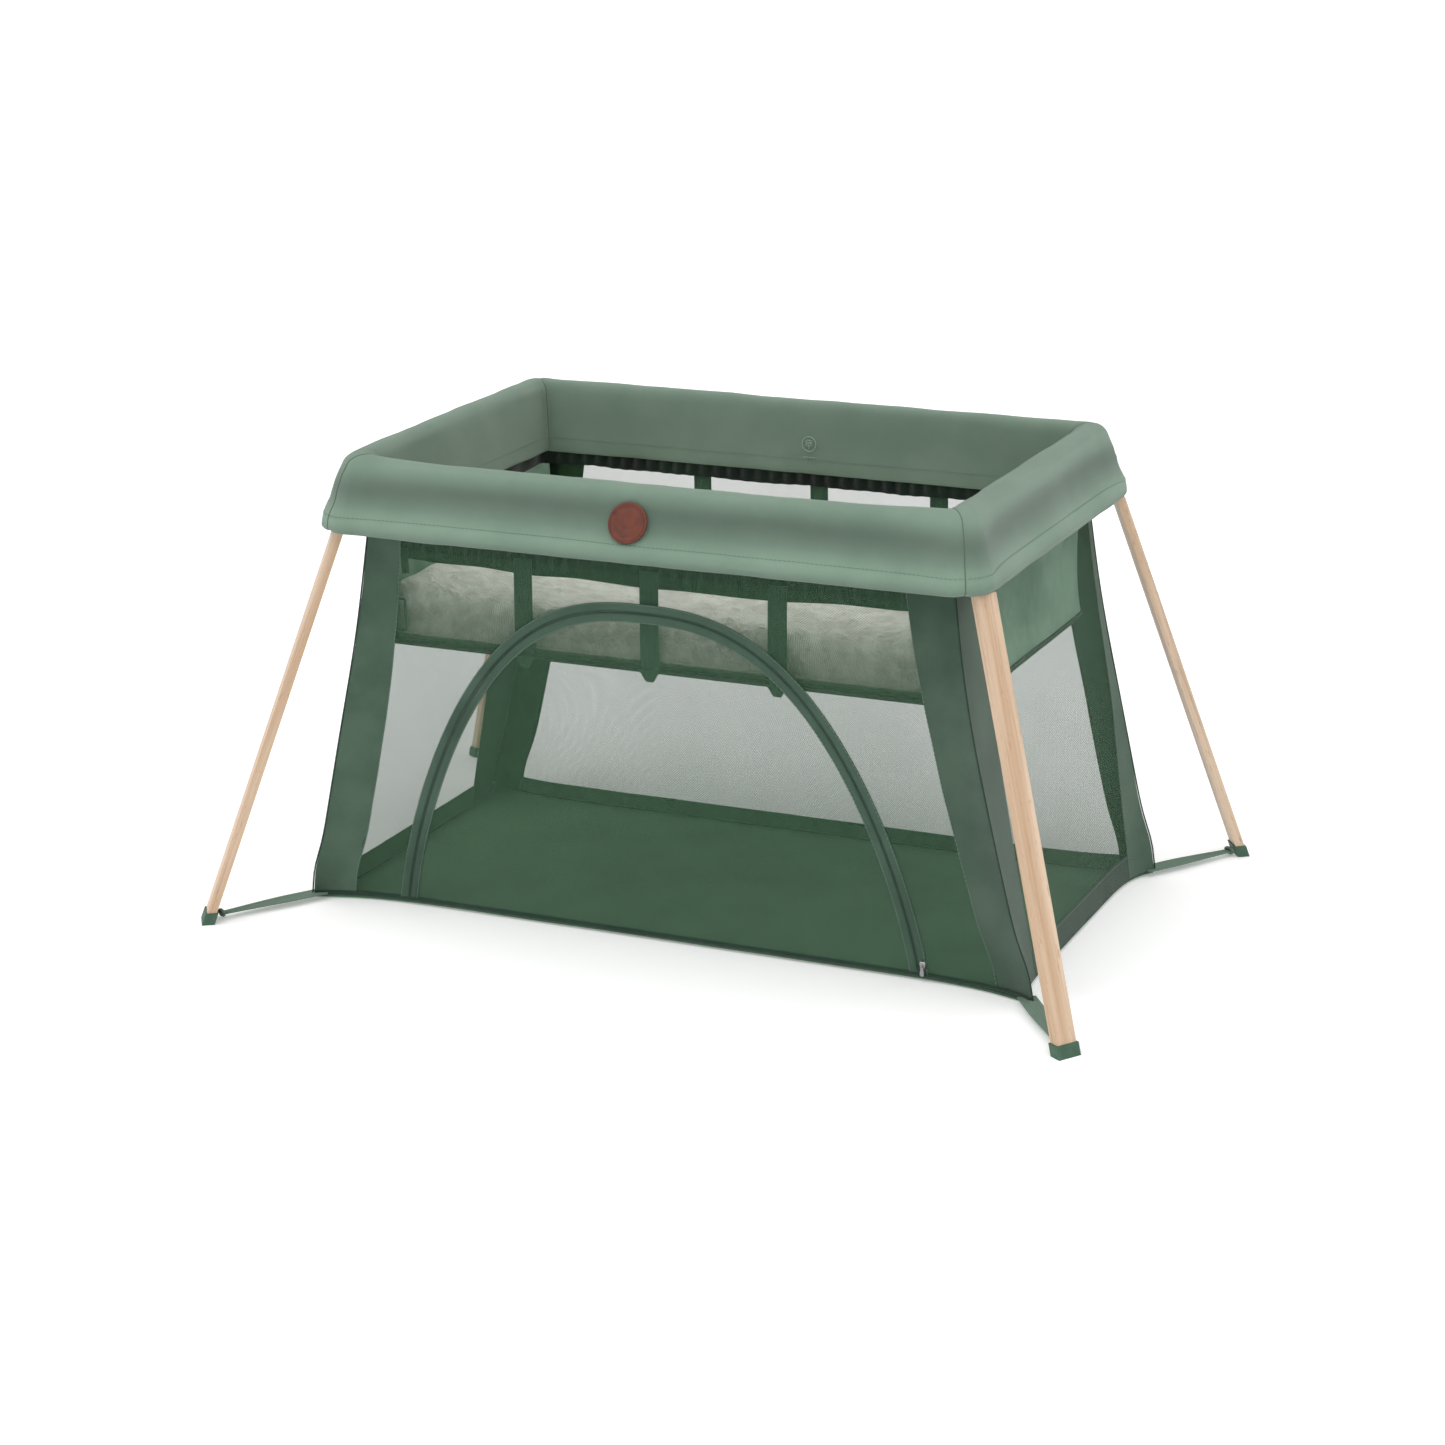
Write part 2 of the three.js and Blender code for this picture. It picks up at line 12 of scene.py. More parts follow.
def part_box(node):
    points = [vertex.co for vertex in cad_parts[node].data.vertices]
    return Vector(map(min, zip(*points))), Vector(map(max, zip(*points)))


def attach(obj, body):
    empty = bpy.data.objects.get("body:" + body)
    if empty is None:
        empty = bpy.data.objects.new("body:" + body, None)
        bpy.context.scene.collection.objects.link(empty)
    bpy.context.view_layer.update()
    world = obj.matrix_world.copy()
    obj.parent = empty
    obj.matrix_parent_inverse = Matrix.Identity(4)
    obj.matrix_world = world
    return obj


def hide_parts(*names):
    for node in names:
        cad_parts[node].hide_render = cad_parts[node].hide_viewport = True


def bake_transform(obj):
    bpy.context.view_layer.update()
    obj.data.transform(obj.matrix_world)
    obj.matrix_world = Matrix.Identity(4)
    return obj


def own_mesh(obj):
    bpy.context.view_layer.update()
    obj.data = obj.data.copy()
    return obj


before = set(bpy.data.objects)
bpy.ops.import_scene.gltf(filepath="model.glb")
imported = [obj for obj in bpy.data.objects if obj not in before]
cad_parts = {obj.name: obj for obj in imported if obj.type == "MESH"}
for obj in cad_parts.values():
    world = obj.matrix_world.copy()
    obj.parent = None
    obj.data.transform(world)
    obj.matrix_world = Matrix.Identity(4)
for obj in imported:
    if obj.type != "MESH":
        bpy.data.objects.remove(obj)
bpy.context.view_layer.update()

# ---- driving dimensions -----------------------------------------------------
SIDES = {"left": -1, "right": 1}
EDGES = {"front": -1, "back": 1}

CORNER_TOP = 0.540  # height where the wall corners are measured from
WALL_LOW, WALL_HIGH = 0.007, 0.556
# Widths of the opaque strips beside each corner, on the long sides and on the ends, at three heights.
POST_HEIGHTS = (0.03, 0.28, 0.53)
POST_WIDTHS = {"front_left": (0.056, 0.057, 0.050), "front_right": (0.057, 0.064, 0.066),
               "back_left": (0.064, 0.060, 0.060), "back_right": (0.044, 0.046, 0.050)}
END_STRIPS = {"front_left": (0.062, 0.050, 0.040), "front_right": (0.090, 0.086, 0.080),
              "back_left": (0.118, 0.128, 0.120), "back_right": (0.050, 0.024, 0.014)}
NET_LAP = 0.004  # how far a net runs on under the opaque strip beside it
BAND_TOPS = {"back": 0.029, "end": 0.040}  # upper edge of the cloth along the foot of a wall
HEM_LEVELS = {"back": 0.020, "end": 0.030}  # height at which the stitches along it take their width
ARCH = {"x": -0.0145, "half": 0.376, "height": 0.462, "shoulder": 1.3, "fullness": 2.55}
TAPE = 0.012  # width of each side of the zip's tape
WALL_DROP, WALL_LEAN = 0.54, 0.034  # a wall's height and how far a long wall leans, when it folds
ZIP_END_FOLD = (0.03, WALL_LEAN, -WALL_DROP)
FLOOR = {"low": 0.0022, "high": 0.0064, "level": 0.006, "gap": 0.0012}
FOOT, LEG_TOP = (0.6138, 0.403), (0.4542, 0.2782)  # ends of a leg's middle line
CAP_HALF = 0.017

# Outlines of the rim cover from its outer hem, over the rail, to its inner hem: x, y, z, corner radius.
RIM_OUTLINES = [
    (0.4690, 0.3160, 0.5405, 0.048),
    (0.4725, 0.3195, 0.5435, 0.050),
    (0.4735, 0.3205, 0.5500, 0.050),
    (0.4700, 0.3160, 0.5640, 0.047),
    (0.4635, 0.3065, 0.5820, 0.042),
    (0.4577, 0.2987, 0.6020, 0.037),
    (0.4516, 0.2916, 0.6200, 0.033),
    (0.4453, 0.2848, 0.6330, 0.028),
    (0.4385, 0.2775, 0.6398, 0.025),
    (0.4290, 0.2680, 0.6430, 0.021),
    (0.4190, 0.2590, 0.6425, 0.016),
    (0.4110, 0.2515, 0.6390, 0.013),
    (0.4045, 0.2465, 0.6310, 0.011),
    (0.4015, 0.2440, 0.6150, 0.009),
    (0.3990, 0.2425, 0.5850, 0.008),
    (0.3970, 0.2405, 0.5520, 0.007),
    (0.3975, 0.2410, 0.5410, 0.006),
    (0.4000, 0.2430, 0.5400, 0.007),
]
# How far the outer face sinks between its roll and its flare: height, depth.
RIM_HOLLOW = [(0.540, 0.0), (0.550, 0.0), (0.564, 0.0085), (0.580, 0.0125), (0.600, 0.0125), (0.618, 0.0055),
              (0.636, 0.0)]
RIM_DRIFT = -0.005  # the cover sits a little to the left on its rails
RIM_SLUMP = 0.0085  # how far the crest sinks along the front
RIM_SKIN = 0.0028
SLEEVE = {"y": 0.2605, "z": 0.6105, "half_width": 0.0126, "half_height": 0.0140, "reach": 0.068}
BADGE = {"x": -0.0176, "z": 0.5900, "radius": 0.0272, "thickness": 0.0024, "lies_on": 0.022}
# Shares of the badge's radius and thickness, from its middle outwards: rings pressed into the leather.
BADGE_PROFILE = [(0.2, 1.0), (0.3, 0.86), (0.36, 0.86), (0.44, 1.0), (0.66, 1.0), (0.71, 0.84), (0.76, 0.84),
                 (0.81, 1.0), (0.93, 1.0), (0.985, 0.8), (1.0, 0.45), (1.0, 0.0)]

BASSINET = {"x": 0.402, "x_low": 0.424, "y": 0.248, "r": 0.014, "r_low": 0.030, "top": 0.560, "floor": 0.376}
NET_TOP = {-1: 0.499, 1: 0.522}  # lower edge of the gathered band on the front and on the back
BAND_CLEAR = 0.006  # the band's left end stands this far out, clear of the rim's lining
STRAP_WIDTH = 0.0265
STRAPS = {"front": (-0.196, -0.0133, 0.1672), "back": (-0.157, 0.0237, 0.2044)}
MATTRESS = {"x": 0.404, "y": 0.238, "r": 0.020, "low": 0.3795, "high": 0.448}
QUILT = 0.052  # distance between the quilting's slanting seams

FOLD_ANCHOR = (0, 0, 0.612)  # fabric gathers here, between the rails, when the frame folds
FOLD_KEEP = 0.04
BASSINET_FOLD = (0, 0, 1)
RIM_ANCHOR = (0, 0, 0.618)
RIM_KEEP = 0.25


def srgb(red, green, blue):
    """A linear colour from 0 to 255 display values."""
    def linear(value):
        share = value / 255
        return share / 12.92 if share <= 0.04045 else ((share + 0.055) / 1.055) ** 2.4
    return (linear(red), linear(green), linear(blue), 1.0)


# ---- camera, floor and light --------------------------------------------------
WHITE, PAPER = (1.0, 1.0, 1.0, 1.0), (0.93, 0.93, 0.93, 1.0)
STAGE_HALF = 14.0
CAMERA = {"place": (1.7637, -4.0559, 1.6134), "azimuth": 23.738, "elevation": 17.246, "roll": -0.47,
          "lens": 83.55, "sensor": 36.0}


def make_camera():
    azimuth, elevation, roll = (math.radians(CAMERA[angle]) for angle in ("azimuth", "elevation", "roll"))
    back = Vector((math.sin(azimuth) * math.cos(elevation), -math.cos(azimuth) * math.cos(elevation),
                   math.sin(elevation)))
    right = Vector((0, 0, 1)).cross(back).normalized()
    up = back.cross(right)
    across = math.cos(roll) * right + math.sin(roll) * up
    above = math.cos(roll) * up - math.sin(roll) * right
    data = bpy.data.cameras.new("camera")
    data.lens, data.sensor_width, data.clip_end = CAMERA["lens"], CAMERA["sensor"], 60.0
    camera = bpy.data.objects.new("camera", data)
    turn = Matrix((across, above, back)).transposed().to_4x4()
    camera.matrix_world = Matrix.Translation(CAMERA["place"]) @ turn
    bpy.context.collection.objects.link(camera)
    bpy.context.scene.camera = camera


def soft_light(name, place, strength, spread):
    """A far, wide softbox that shines from a place towards the pen."""
    data = bpy.data.lights.new(name, "SUN")
    data.energy, data.angle = strength, math.radians(spread)
    light = bpy.data.objects.new(name, data)
    light.location = place
    light.rotation_euler = (-Vector(place)).to_track_quat("-Z", "Y").to_euler()
    bpy.context.collection.objects.link(light)


def make_stage():
    scene = bpy.context.scene
    scene.view_settings.view_transform = "Standard"
    world = bpy.data.worlds.new("studio")
    world.use_nodes = True
    nodes, links = world.node_tree.nodes, world.node_tree.links
    soft, seen = nodes["Background"], nodes.new("ShaderNodeBackground")
    for background, strength in ((soft, 0.36), (seen, 1.0)):
        background.inputs["Color"].default_value = WHITE
        background.inputs["Strength"].default_value = strength
    path, mix = nodes.new("ShaderNodeLightPath"), nodes.new("ShaderNodeMixShader")
    links.new(path.outputs["Is Camera Ray"], mix.inputs[0])
    links.new(soft.outputs[0], mix.inputs[1])
    links.new(seen.outputs[0], mix.inputs[2])
    links.new(mix.outputs[0], nodes["World Output"].inputs["Surface"])
    scene.world = world
    corners = [(STAGE_HALF * x, STAGE_HALF * y, 0) for x, y in ((-1, -1), (1, -1), (1, 1), (-1, 1))]
    mesh_object("studio_floor", corners, [(0, 1, 2, 3)], backdrop_material())
    soft_light("key", (-1.6, -1.6, 4.2), 0.9, 60)
    soft_light("top", (0.5, 0.4, 4.0), 1.75, 120)
    soft_light("fill", (3.6, -2.4, 1.8), 0.15, 90)


# ---- materials ------------------------------------------------------------------
class Finish:
    """A principled material with short calls for adding nodes to it."""

    def __init__(self, name, colour, roughness, **sockets):
        self.material = bpy.data.materials.new(name)
        self.material.use_nodes = True
        self.nodes = self.material.node_tree.nodes
        self.links = self.material.node_tree.links
        self.shader = self.nodes["Principled BSDF"]
        self.shader.inputs["Base Color"].default_value = colour
        self.shader.inputs["Roughness"].default_value = roughness
        for socket, value in sockets.items():
            self.shader.inputs[socket.replace("_", " ")].default_value = value
        self.coordinates = self.nodes.new("ShaderNodeTexCoord")

    def set(self, socket, value):
        if isinstance(value, bpy.types.NodeSocket):
            self.links.new(value, socket)
        else:
            socket.default_value = value

    def paint(self, colour):
        self.links.new(colour, self.shader.inputs["Base Color"])

    def roughen(self, roughness):
        self.links.new(roughness, self.shader.inputs["Roughness"])

    def math(self, operation, first, second=0.0):
        node = self.nodes.new("ShaderNodeMath")
        node.operation = operation
        self.set(node.inputs[0], first)
        self.set(node.inputs[1], second)
        return node.outputs[0]

    def span(self, value, low=0.3, high=0.7, to_low=0.0, to_high=1.0, way="SMOOTHSTEP"):
        node = self.nodes.new("ShaderNodeMapRange")
        node.interpolation_type = way
        self.set(node.inputs["Value"], value)
        for socket, number in zip(("From Min", "From Max", "To Min", "To Max"), (low, high, to_low, to_high)):
            node.inputs[socket].default_value = number
        return node.outputs[0]

    def blend(self, share, first, second):
        node = self.nodes.new("ShaderNodeMix")
        node.data_type = "RGBA"
        self.set(node.inputs["Factor"], share)
        self.set(node.inputs["A"], first)
        self.set(node.inputs["B"], second)
        return node.outputs["Result"]

    def mapped(self, source="Object", scale=(1, 1, 1), rotation=(0, 0, 0)):
        """Turned and scaled places: from a kind of texture coordinate or from another such vector."""
        node = self.nodes.new("ShaderNodeMapping")
        vector = self.coordinates.outputs[source] if isinstance(source, str) else source
        self.links.new(vector, node.inputs["Vector"])
        node.inputs["Scale"].default_value = scale
        node.inputs["Rotation"].default_value = rotation
        return node.outputs[0]

    def texture(self, kind, vector, scale):
        node = self.nodes.new(f"ShaderNodeTex{kind}")
        self.links.new(vector, node.inputs["Vector"])
        node.inputs["Scale"].default_value = scale
        return node

    def noise(self, vector, scale, detail=3.0, roughness=0.55):
        node = self.texture("Noise", vector, scale)
        node.inputs["Detail"].default_value = detail
        node.inputs["Roughness"].default_value = roughness
        return node.outputs["Fac"]

    def cells(self, vector, scale):
        return self.texture("Voronoi", vector, scale).outputs["Distance"]

    def bands(self, vector, period, direction):
        """Smooth stripes a period apart in metres along one of the vector's axes."""
        node = self.texture("Wave", vector, math.pi / 10 / period)
        node.bands_direction = direction
        return node.outputs["Fac"]

    def paint_light_and_shade(self, colour, painted_light):
        """The colour multiplied by painted light and shade, a brightness that changes smoothly with the
        cloth's height.
        """
        split = self.nodes.new("ShaderNodeSeparateXYZ")
        self.links.new(self.coordinates.outputs["Object"], split.inputs[0])
        low, high = painted_light[0][0], painted_light[-1][0]
        ramp = self.nodes.new("ShaderNodeValToRGB")
        ramp.color_ramp.interpolation = "B_SPLINE"
        stops = ramp.color_ramp.elements
        for height, _ in painted_light[1:-1]:
            stops.new((height - low) / (high - low))
        for stop, (_, tone) in zip(stops, painted_light):
            stop.color = (tone / 2, tone / 2, tone / 2, 1.0)
        self.links.new(self.span(split.outputs["Z"], low, high, 0.0, 1.0, "LINEAR"), ramp.inputs[0])
        scale = self.nodes.new("ShaderNodeVectorMath")
        scale.operation = "MULTIPLY"
        self.links.new(colour, scale.inputs[0])
        self.links.new(ramp.outputs[0], scale.inputs[1])
        double = self.nodes.new("ShaderNodeVectorMath")
        double.operation = "SCALE"
        double.inputs["Scale"].default_value = 2.0
        self.links.new(scale.outputs[0], double.inputs[0])
        return double.outputs[0]

    def bump(self, height, distance, strength=1.0):
        node = self.nodes.new("ShaderNodeBump")
        self.links.new(height, node.inputs["Height"])
        node.inputs["Distance"].default_value = distance
        node.inputs["Strength"].default_value = strength
        self.links.new(node.outputs[0], self.shader.inputs["Normal"])


# Painted light and shade up the cloth: height, brightness. They stand for the shade the photograph shows in
# the rim's folds and the highlights on its roll and flare, a darker lining, and the mattress's lit top over
# its shaded sides.
RIM_PAINTED_LIGHT = [(0.538, 0.55), (0.546, 0.80), (0.556, 1.08), (0.563, 1.14), (0.577, 0.84), (0.597, 0.52),
             (0.612, 0.70), (0.625, 0.98), (0.634, 1.00), (0.645, 0.82)]
LINING_PAINTED_SHADE = [(0.538, 0.80), (0.560, 0.86), (0.600, 0.84), (0.618, 0.86), (0.632, 0.84), (0.645, 0.82)]
PAD_PAINTED_LIGHT = [(0.376, 0.58), (0.410, 0.64), (0.428, 0.84), (0.440, 1.25), (0.470, 1.60)]


def fabric(name, light, dark, thread=0.0011, relief=0.00035, roughness=0.86, sheen=0.25, painted_light=None):
    """Woven cloth: crossing threads, cloudy wear and a soft sheen; painted light and shade, where given,
    change it up its height.
    """
    cloth = Finish(name, light, roughness, Sheen_Weight=sheen, Sheen_Roughness=0.45, Specular_IOR_Level=0.25)
    uv, place = cloth.mapped("UV"), cloth.mapped()
    weave = cloth.math("MAXIMUM", cloth.bands(uv, thread, "X"), cloth.bands(uv, thread, "Y"))
    clouds = cloth.noise(place, 9.0, 4.0)
    fibres = cloth.noise(place, 420.0, 2.0)
    tone = cloth.blend(cloth.span(clouds), dark, light)
    gaps, fuzz = cloth.span(weave, 0.2, 1.0, 0.20, 0.0), cloth.span(fibres, 0.35, 0.7, 0.12, 0.0)
    shade = cloth.math("ADD", gaps, fuzz)
    colour = cloth.blend(shade, tone, dark)
    cloth.paint(cloth.paint_light_and_shade(colour, painted_light) if painted_light else colour)
    cloth.roughen(cloth.span(fibres, 0.3, 0.7, roughness - 0.06, roughness + 0.06))
    cloth.bump(cloth.math("ADD", weave, cloth.math("MULTIPLY", clouds, 2.0)), relief)
    return cloth.material


def netting(name, thread_colour, hole, cord, pitch=0.0019):
    """Fine knitted net: cords crossing on the slant with see-through holes."""
    net = Finish(name, thread_colour, 0.8, Sheen_Weight=0.1, Specular_IOR_Level=0.2)
    slant = net.mapped("UV", rotation=(0, 0, math.radians(38)))
    knit = net.math("MAXIMUM", net.bands(slant, pitch, "X"), net.bands(slant, pitch, "Y"))
    clouds = net.noise(net.mapped(), 6.0, 2.0)
    cover = net.math("ADD", net.span(knit, 0.55, 0.95, hole, cord), net.span(clouds, 0.3, 0.7, -0.015, 0.015))
    net.set(net.shader.inputs["Alpha"], cover)
    net.bump(knit, 0.0002)
    return net.material


def quilting(name, light, dark):
    """Crinkled, softly shining quilted cover: small puckers all over and a fine weave; painted shade darkens
    the dips of its puckers and creases, and painted light brightens its top.
    """
    cover = Finish(name, light, 0.62, Sheen_Weight=0.3, Sheen_Roughness=0.35, Specular_IOR_Level=0.4)
    place = cover.mapped()
    puckers = cover.noise(cover.mapped(rotation=(0.0, 0.6, 0.3), scale=(1.0, 1.5, 0.8)), 70.0, 3.0, 0.6)
    creases = cover.noise(place, 30.0, 4.0, 0.6)
    weave = cover.math("MAXIMUM", cover.bands(cover.mapped("UV"), 0.0022, "X"),
                       cover.bands(cover.mapped("UV"), 0.0022, "Y"))
    relief = cover.math("ADD", puckers, cover.math("MULTIPLY", creases, 1.4))
    # painted shade: the colour darkens where the bump's puckers and creases sink
    colour = cover.blend(cover.span(relief, 0.95, 1.45, 1.0, 0.0), light, dark)
    # painted light: the mattress's top lighter than its shaded sides
    cover.paint(cover.paint_light_and_shade(colour, PAD_PAINTED_LIGHT))
    cover.roughen(cover.span(puckers, 0.3, 0.7, 0.5, 0.72))
    cover.bump(cover.math("ADD", relief, cover.math("MULTIPLY", weave, 0.05)), 0.0100, 1.0)
    return cover.material


def webbing(name, light, dark):
    """Ribbed strap: fine cross ribs with a herringbone tone."""
    strap = Finish(name, light, 0.8, Sheen_Weight=0.15, Specular_IOR_Level=0.3)
    uv = strap.mapped("UV")
    ribs = strap.bands(uv, 0.0016, "Y")
    rows = strap.bands(uv, 0.0042, "X")
    shade = strap.math("ADD", strap.span(ribs, 0.1, 0.8, 0.35, 0.0), strap.span(rows, 0.1, 0.5, 0.25, 0.0))
    strap.paint(strap.blend(shade, light, dark))
    strap.bump(strap.math("ADD", ribs, rows), 0.0004)
    return strap.material


def wood(name, direction):
    """Oiled beech with the grain along the leg: fine lines, short flecks and soft colour bands."""
    turn = direction.to_track_quat("Z", "Y").to_matrix().inverted().to_euler()
    leg = Finish(name, srgb(222, 196, 168), 0.5, Coat_Weight=0.12, Coat_Roughness=0.35,
                 Specular_IOR_Level=0.4)
    turned = leg.mapped(rotation=turn)
    lines = leg.noise(leg.mapped(turned, (1, 1, 0.02)), 260.0, 4.0)
    rings = leg.noise(leg.mapped(turned, (1, 1, 0.05)), 40.0, 2.0)
    flecks = leg.noise(leg.mapped(turned, (1, 1, 0.12)), 520.0, 1.0)
    tone = leg.blend(leg.span(rings), srgb(205, 172, 140), srgb(228, 203, 177))
    grain = leg.math("ADD", leg.span(lines, 0.45, 0.75, 0.0, 0.5), leg.span(flecks, 0.64, 0.74, 0.0, 0.5))
    leg.paint(leg.blend(grain, tone, srgb(176, 136, 104)))
    leg.roughen(leg.span(lines, 0.3, 0.8, 0.44, 0.62))
    leg.bump(leg.math("SUBTRACT", lines, flecks), 0.00018)
    return leg.material


def moulded(name, colour, roughness):
    """Moulded plastic with a fine spark-eroded grain and slightly polished patches."""
    part = Finish(name, colour, roughness, Specular_IOR_Level=0.45)
    place = part.mapped()
    grain, wear = part.cells(place, 2200.0), part.noise(place, 55.0, 3.0)
    darker = tuple(0.78 * value for value in colour[:3]) + (1.0,)
    part.paint(part.blend(part.span(wear, 0.3, 0.75, 0.0, 1.0), colour, darker))
    part.roughen(part.span(wear, 0.3, 0.7, roughness - 0.08, roughness + 0.08))
    part.bump(grain, 0.00012)
    return part.material


def metal(name, colour, roughness, brush):
    """Drawn or plated metal with fine lines along one axis."""
    part = Finish(name, colour, roughness, Metallic=1.0)
    lines = part.noise(part.mapped(scale=brush), 380.0, 3.0)
    smear = part.noise(part.mapped(), 26.0, 3.0)
    part.roughen(part.math("ADD", part.span(lines, 0.3, 0.7, roughness - 0.06, roughness + 0.06),
                       part.span(smear, 0.4, 0.8, 0.0, 0.12)))
    part.bump(lines, 0.00005)
    return part.material


def leather(name):
    """Vegetable-tanned leather: pebbled grain, darker in its creases."""
    hide = Finish(name, srgb(104, 48, 34), 0.55, Coat_Weight=0.08, Coat_Roughness=0.4)
    place = hide.mapped()
    grain, cloud = hide.cells(place, 900.0), hide.noise(place, 70.0, 4.0)
    tone = hide.blend(hide.span(cloud), srgb(92, 40, 23), srgb(114, 54, 32))
    creases = hide.span(grain, 0.0, 0.35, 0.5, 0.0)
    hide.paint(hide.blend(creases, tone, srgb(70, 28, 20)))
    hide.roughen(hide.span(cloud, 0.3, 0.7, 0.45, 0.65))
    hide.bump(hide.math("ADD", grain, cloud), 0.00035)
    return hide.material


def backdrop_material():
    paper = Finish("studio_paper", PAPER, 0.9, Specular_IOR_Level=0.1, Emission_Color=WHITE,
                   Emission_Strength=0.22)
    paper.paint(paper.blend(paper.noise(paper.mapped(), 0.6, 2.0), PAPER, (0.95, 0.95, 0.95, 1.0)))
    return paper.material


# ---- meshes ---------------------------------------------------------------------
CREASE = math.radians(38)


def mesh_object(name, vertices, faces, material, uvs=None):
    mesh = bpy.data.meshes.new(name)
    mesh.from_pydata([tuple(v) for v in vertices], [], faces)
    mesh.materials.append(material)
    if uvs is not None:
        layer = mesh.uv_layers.new(name="cloth")
        index = np.empty(len(mesh.loops), int)
        mesh.loops.foreach_get("vertex_index", index)
        layer.data.foreach_set("uv", np.asarray(uvs, np.float32)[index].ravel())
    mesh.shade_smooth()
    mesh.set_sharp_from_angle(angle=CREASE)
    piece = bpy.data.objects.new(name, mesh)
    bpy.context.collection.objects.link(piece)
    return piece


def grid_faces(rows, columns, offset=0, turned=False):
    faces = []
    for i in range(rows - 1):
        for j in range(columns - 1):
            a = offset + i * columns + j
            quad = (a, a + 1, a + columns + 1, a + columns)
            faces.append(quad[::-1] if turned else quad)
    return faces


def grid_normals(grid):
    along, across = np.gradient(grid, axis=1), np.gradient(grid, axis=0)
    normal = np.cross(along, across)
    return normal / np.maximum(np.linalg.norm(normal, axis=2, keepdims=True), 1e-12)


def outward(grid, towards=None):
    """Unit normals of a grid of points, facing away from the pen's middle or along a given way."""
    normal = grid_normals(grid)
    if towards is None:
        reference = grid * np.array((1.0, 1.0, 0.0))
    else:
        reference = np.broadcast_to(np.array(towards, float), grid.shape)
    turned = (normal * reference).sum() < 0
    return (-normal if turned else normal), turned


def cloth_uvs(grid):
    """Places on the flat cloth, in metres, from lengths along the grid's two ways."""
    steps = np.linalg.norm(np.diff(grid, axis=1), axis=2).mean(axis=0)
    rises = np.linalg.norm(np.diff(grid, axis=0), axis=2).mean(axis=1)
    u, v = np.concatenate(([0], steps.cumsum())), np.concatenate(([0], rises.cumsum()))
    return np.stack(np.meshgrid(u, v), axis=2).reshape(-1, 2)


def net_sheet(name, grid, material, towards=None):
    """A single layer of net through a grid of points."""
    grid = np.asarray(grid, float)
    turned = outward(grid, towards)[1]
    return mesh_object(name, grid.reshape(-1, 3), grid_faces(*grid.shape[:2], turned=turned), material,
                       cloth_uvs(grid))


def run_lengths(path):
    """Length along a path up to each of its points."""
    return np.concatenate(([0], np.linalg.norm(np.diff(path, axis=0), axis=1).cumsum()))


def ring_faces(rings, sides, offset=0):
    """Faces of a tube of rings of points, with a cap at each end."""
    faces = []
    for start in range(offset, offset + (rings - 1) * sides, sides):
        for j in range(sides):
            k = (j + 1) % sides
            faces.append((start + j, start + k, start + sides + k, start + sides + j))
    last = offset + (rings - 1) * sides
    return [*faces, tuple(range(offset, offset + sides))[::-1], tuple(range(last, last + sides))]


def closed_skin(name, outer, inner, turned, material):
    """One closed piece from two grids of the same size, joined round their borders."""
    rows, columns = outer.shape[:2]
    count = rows * columns
    faces = grid_faces(rows, columns, 0, turned) + grid_faces(rows, columns, count, not turned)
    index = np.arange(count).reshape(rows, columns)
    ring = np.concatenate((index[0], index[1:, -1], index[-1, -2::-1], index[-2:0:-1, 0])).tolist()
    for a, b in zip(ring, ring[1:] + ring[:1]):
        quad = (b, a, a + count, b + count)
        faces.append(quad[::-1] if turned else quad)
    vertices = np.concatenate((outer.reshape(-1, 3), inner.reshape(-1, 3)))
    return mesh_object(name, vertices, faces, material, np.tile(cloth_uvs(outer), (2, 1)))


def shell(name, grid, material, thickness, towards=None, lining=None):
    """A thin closed piece whose outer face is a grid of points; its inner face may have its own cloth."""
    grid = np.asarray(grid, float)
    normal, turned = outward(grid, towards)
    piece = closed_skin(name, grid, grid - thickness * normal, turned, material)
    if lining is not None:
        piece.data.materials.append(lining)
        inner = (grid.shape[0] - 1) * (grid.shape[1] - 1)
        for polygon in piece.data.polygons[inner:2 * inner]:
            polygon.material_index = 1
    return piece


def tube(name, path, radius, material, sides=8, flat=1.0):
    """A round or oval cord along a list of points, closed at both ends."""
    path = np.asarray(path, float)
    tangent = np.gradient(path, axis=0)
    tangent /= np.linalg.norm(tangent, axis=1, keepdims=True)
    across = np.cross(tangent, (0, 0, 1.0))
    steep = np.linalg.norm(across, axis=1) < 0.05
    across[steep] = np.cross(tangent[steep], (0, 1.0, 0))
    across /= np.linalg.norm(across, axis=1, keepdims=True)
    above = np.cross(across, tangent)
    turn = np.linspace(0, 2 * math.pi, sides, endpoint=False)
    rings = (path[:, None] + radius * np.cos(turn)[None, :, None] * across[:, None]
             + radius * flat * np.sin(turn)[None, :, None] * above[:, None])
    uvs = [(radius * angle, length) for length in run_lengths(path) for angle in turn]
    return mesh_object(name, rings.reshape(-1, 3), ring_faces(len(path), sides), material, uvs)


def beads(name, places, ways, normals, size, material):
    """Many small rounded bars in one piece: stitches or zip teeth. size is length, width and height."""
    length, width, height = size
    profile = [(-0.5, 0.35), (-0.32, 1.0), (0.32, 1.0), (0.5, 0.35)]
    sides = 6
    vertices, faces = [], []
    for place, way, normal in zip(places, ways, normals):
        way = Vector(way).normalized()
        normal = Vector(normal)
        normal = (normal - normal.dot(way) * way).normalized()
        side = way.cross(normal)
        faces += ring_faces(len(profile), sides, len(vertices))
        for along, share in profile:
            middle = Vector(place) + along * length * way
            for turn in range(sides):
                angle = 2 * math.pi * turn / sides
                vertices.append(middle + share * (0.5 * width * math.cos(angle) * side
                                                  + 0.5 * height * math.sin(angle) * normal))
    return mesh_object(name, vertices, faces, material, [(v[0], v[2]) for v in vertices])


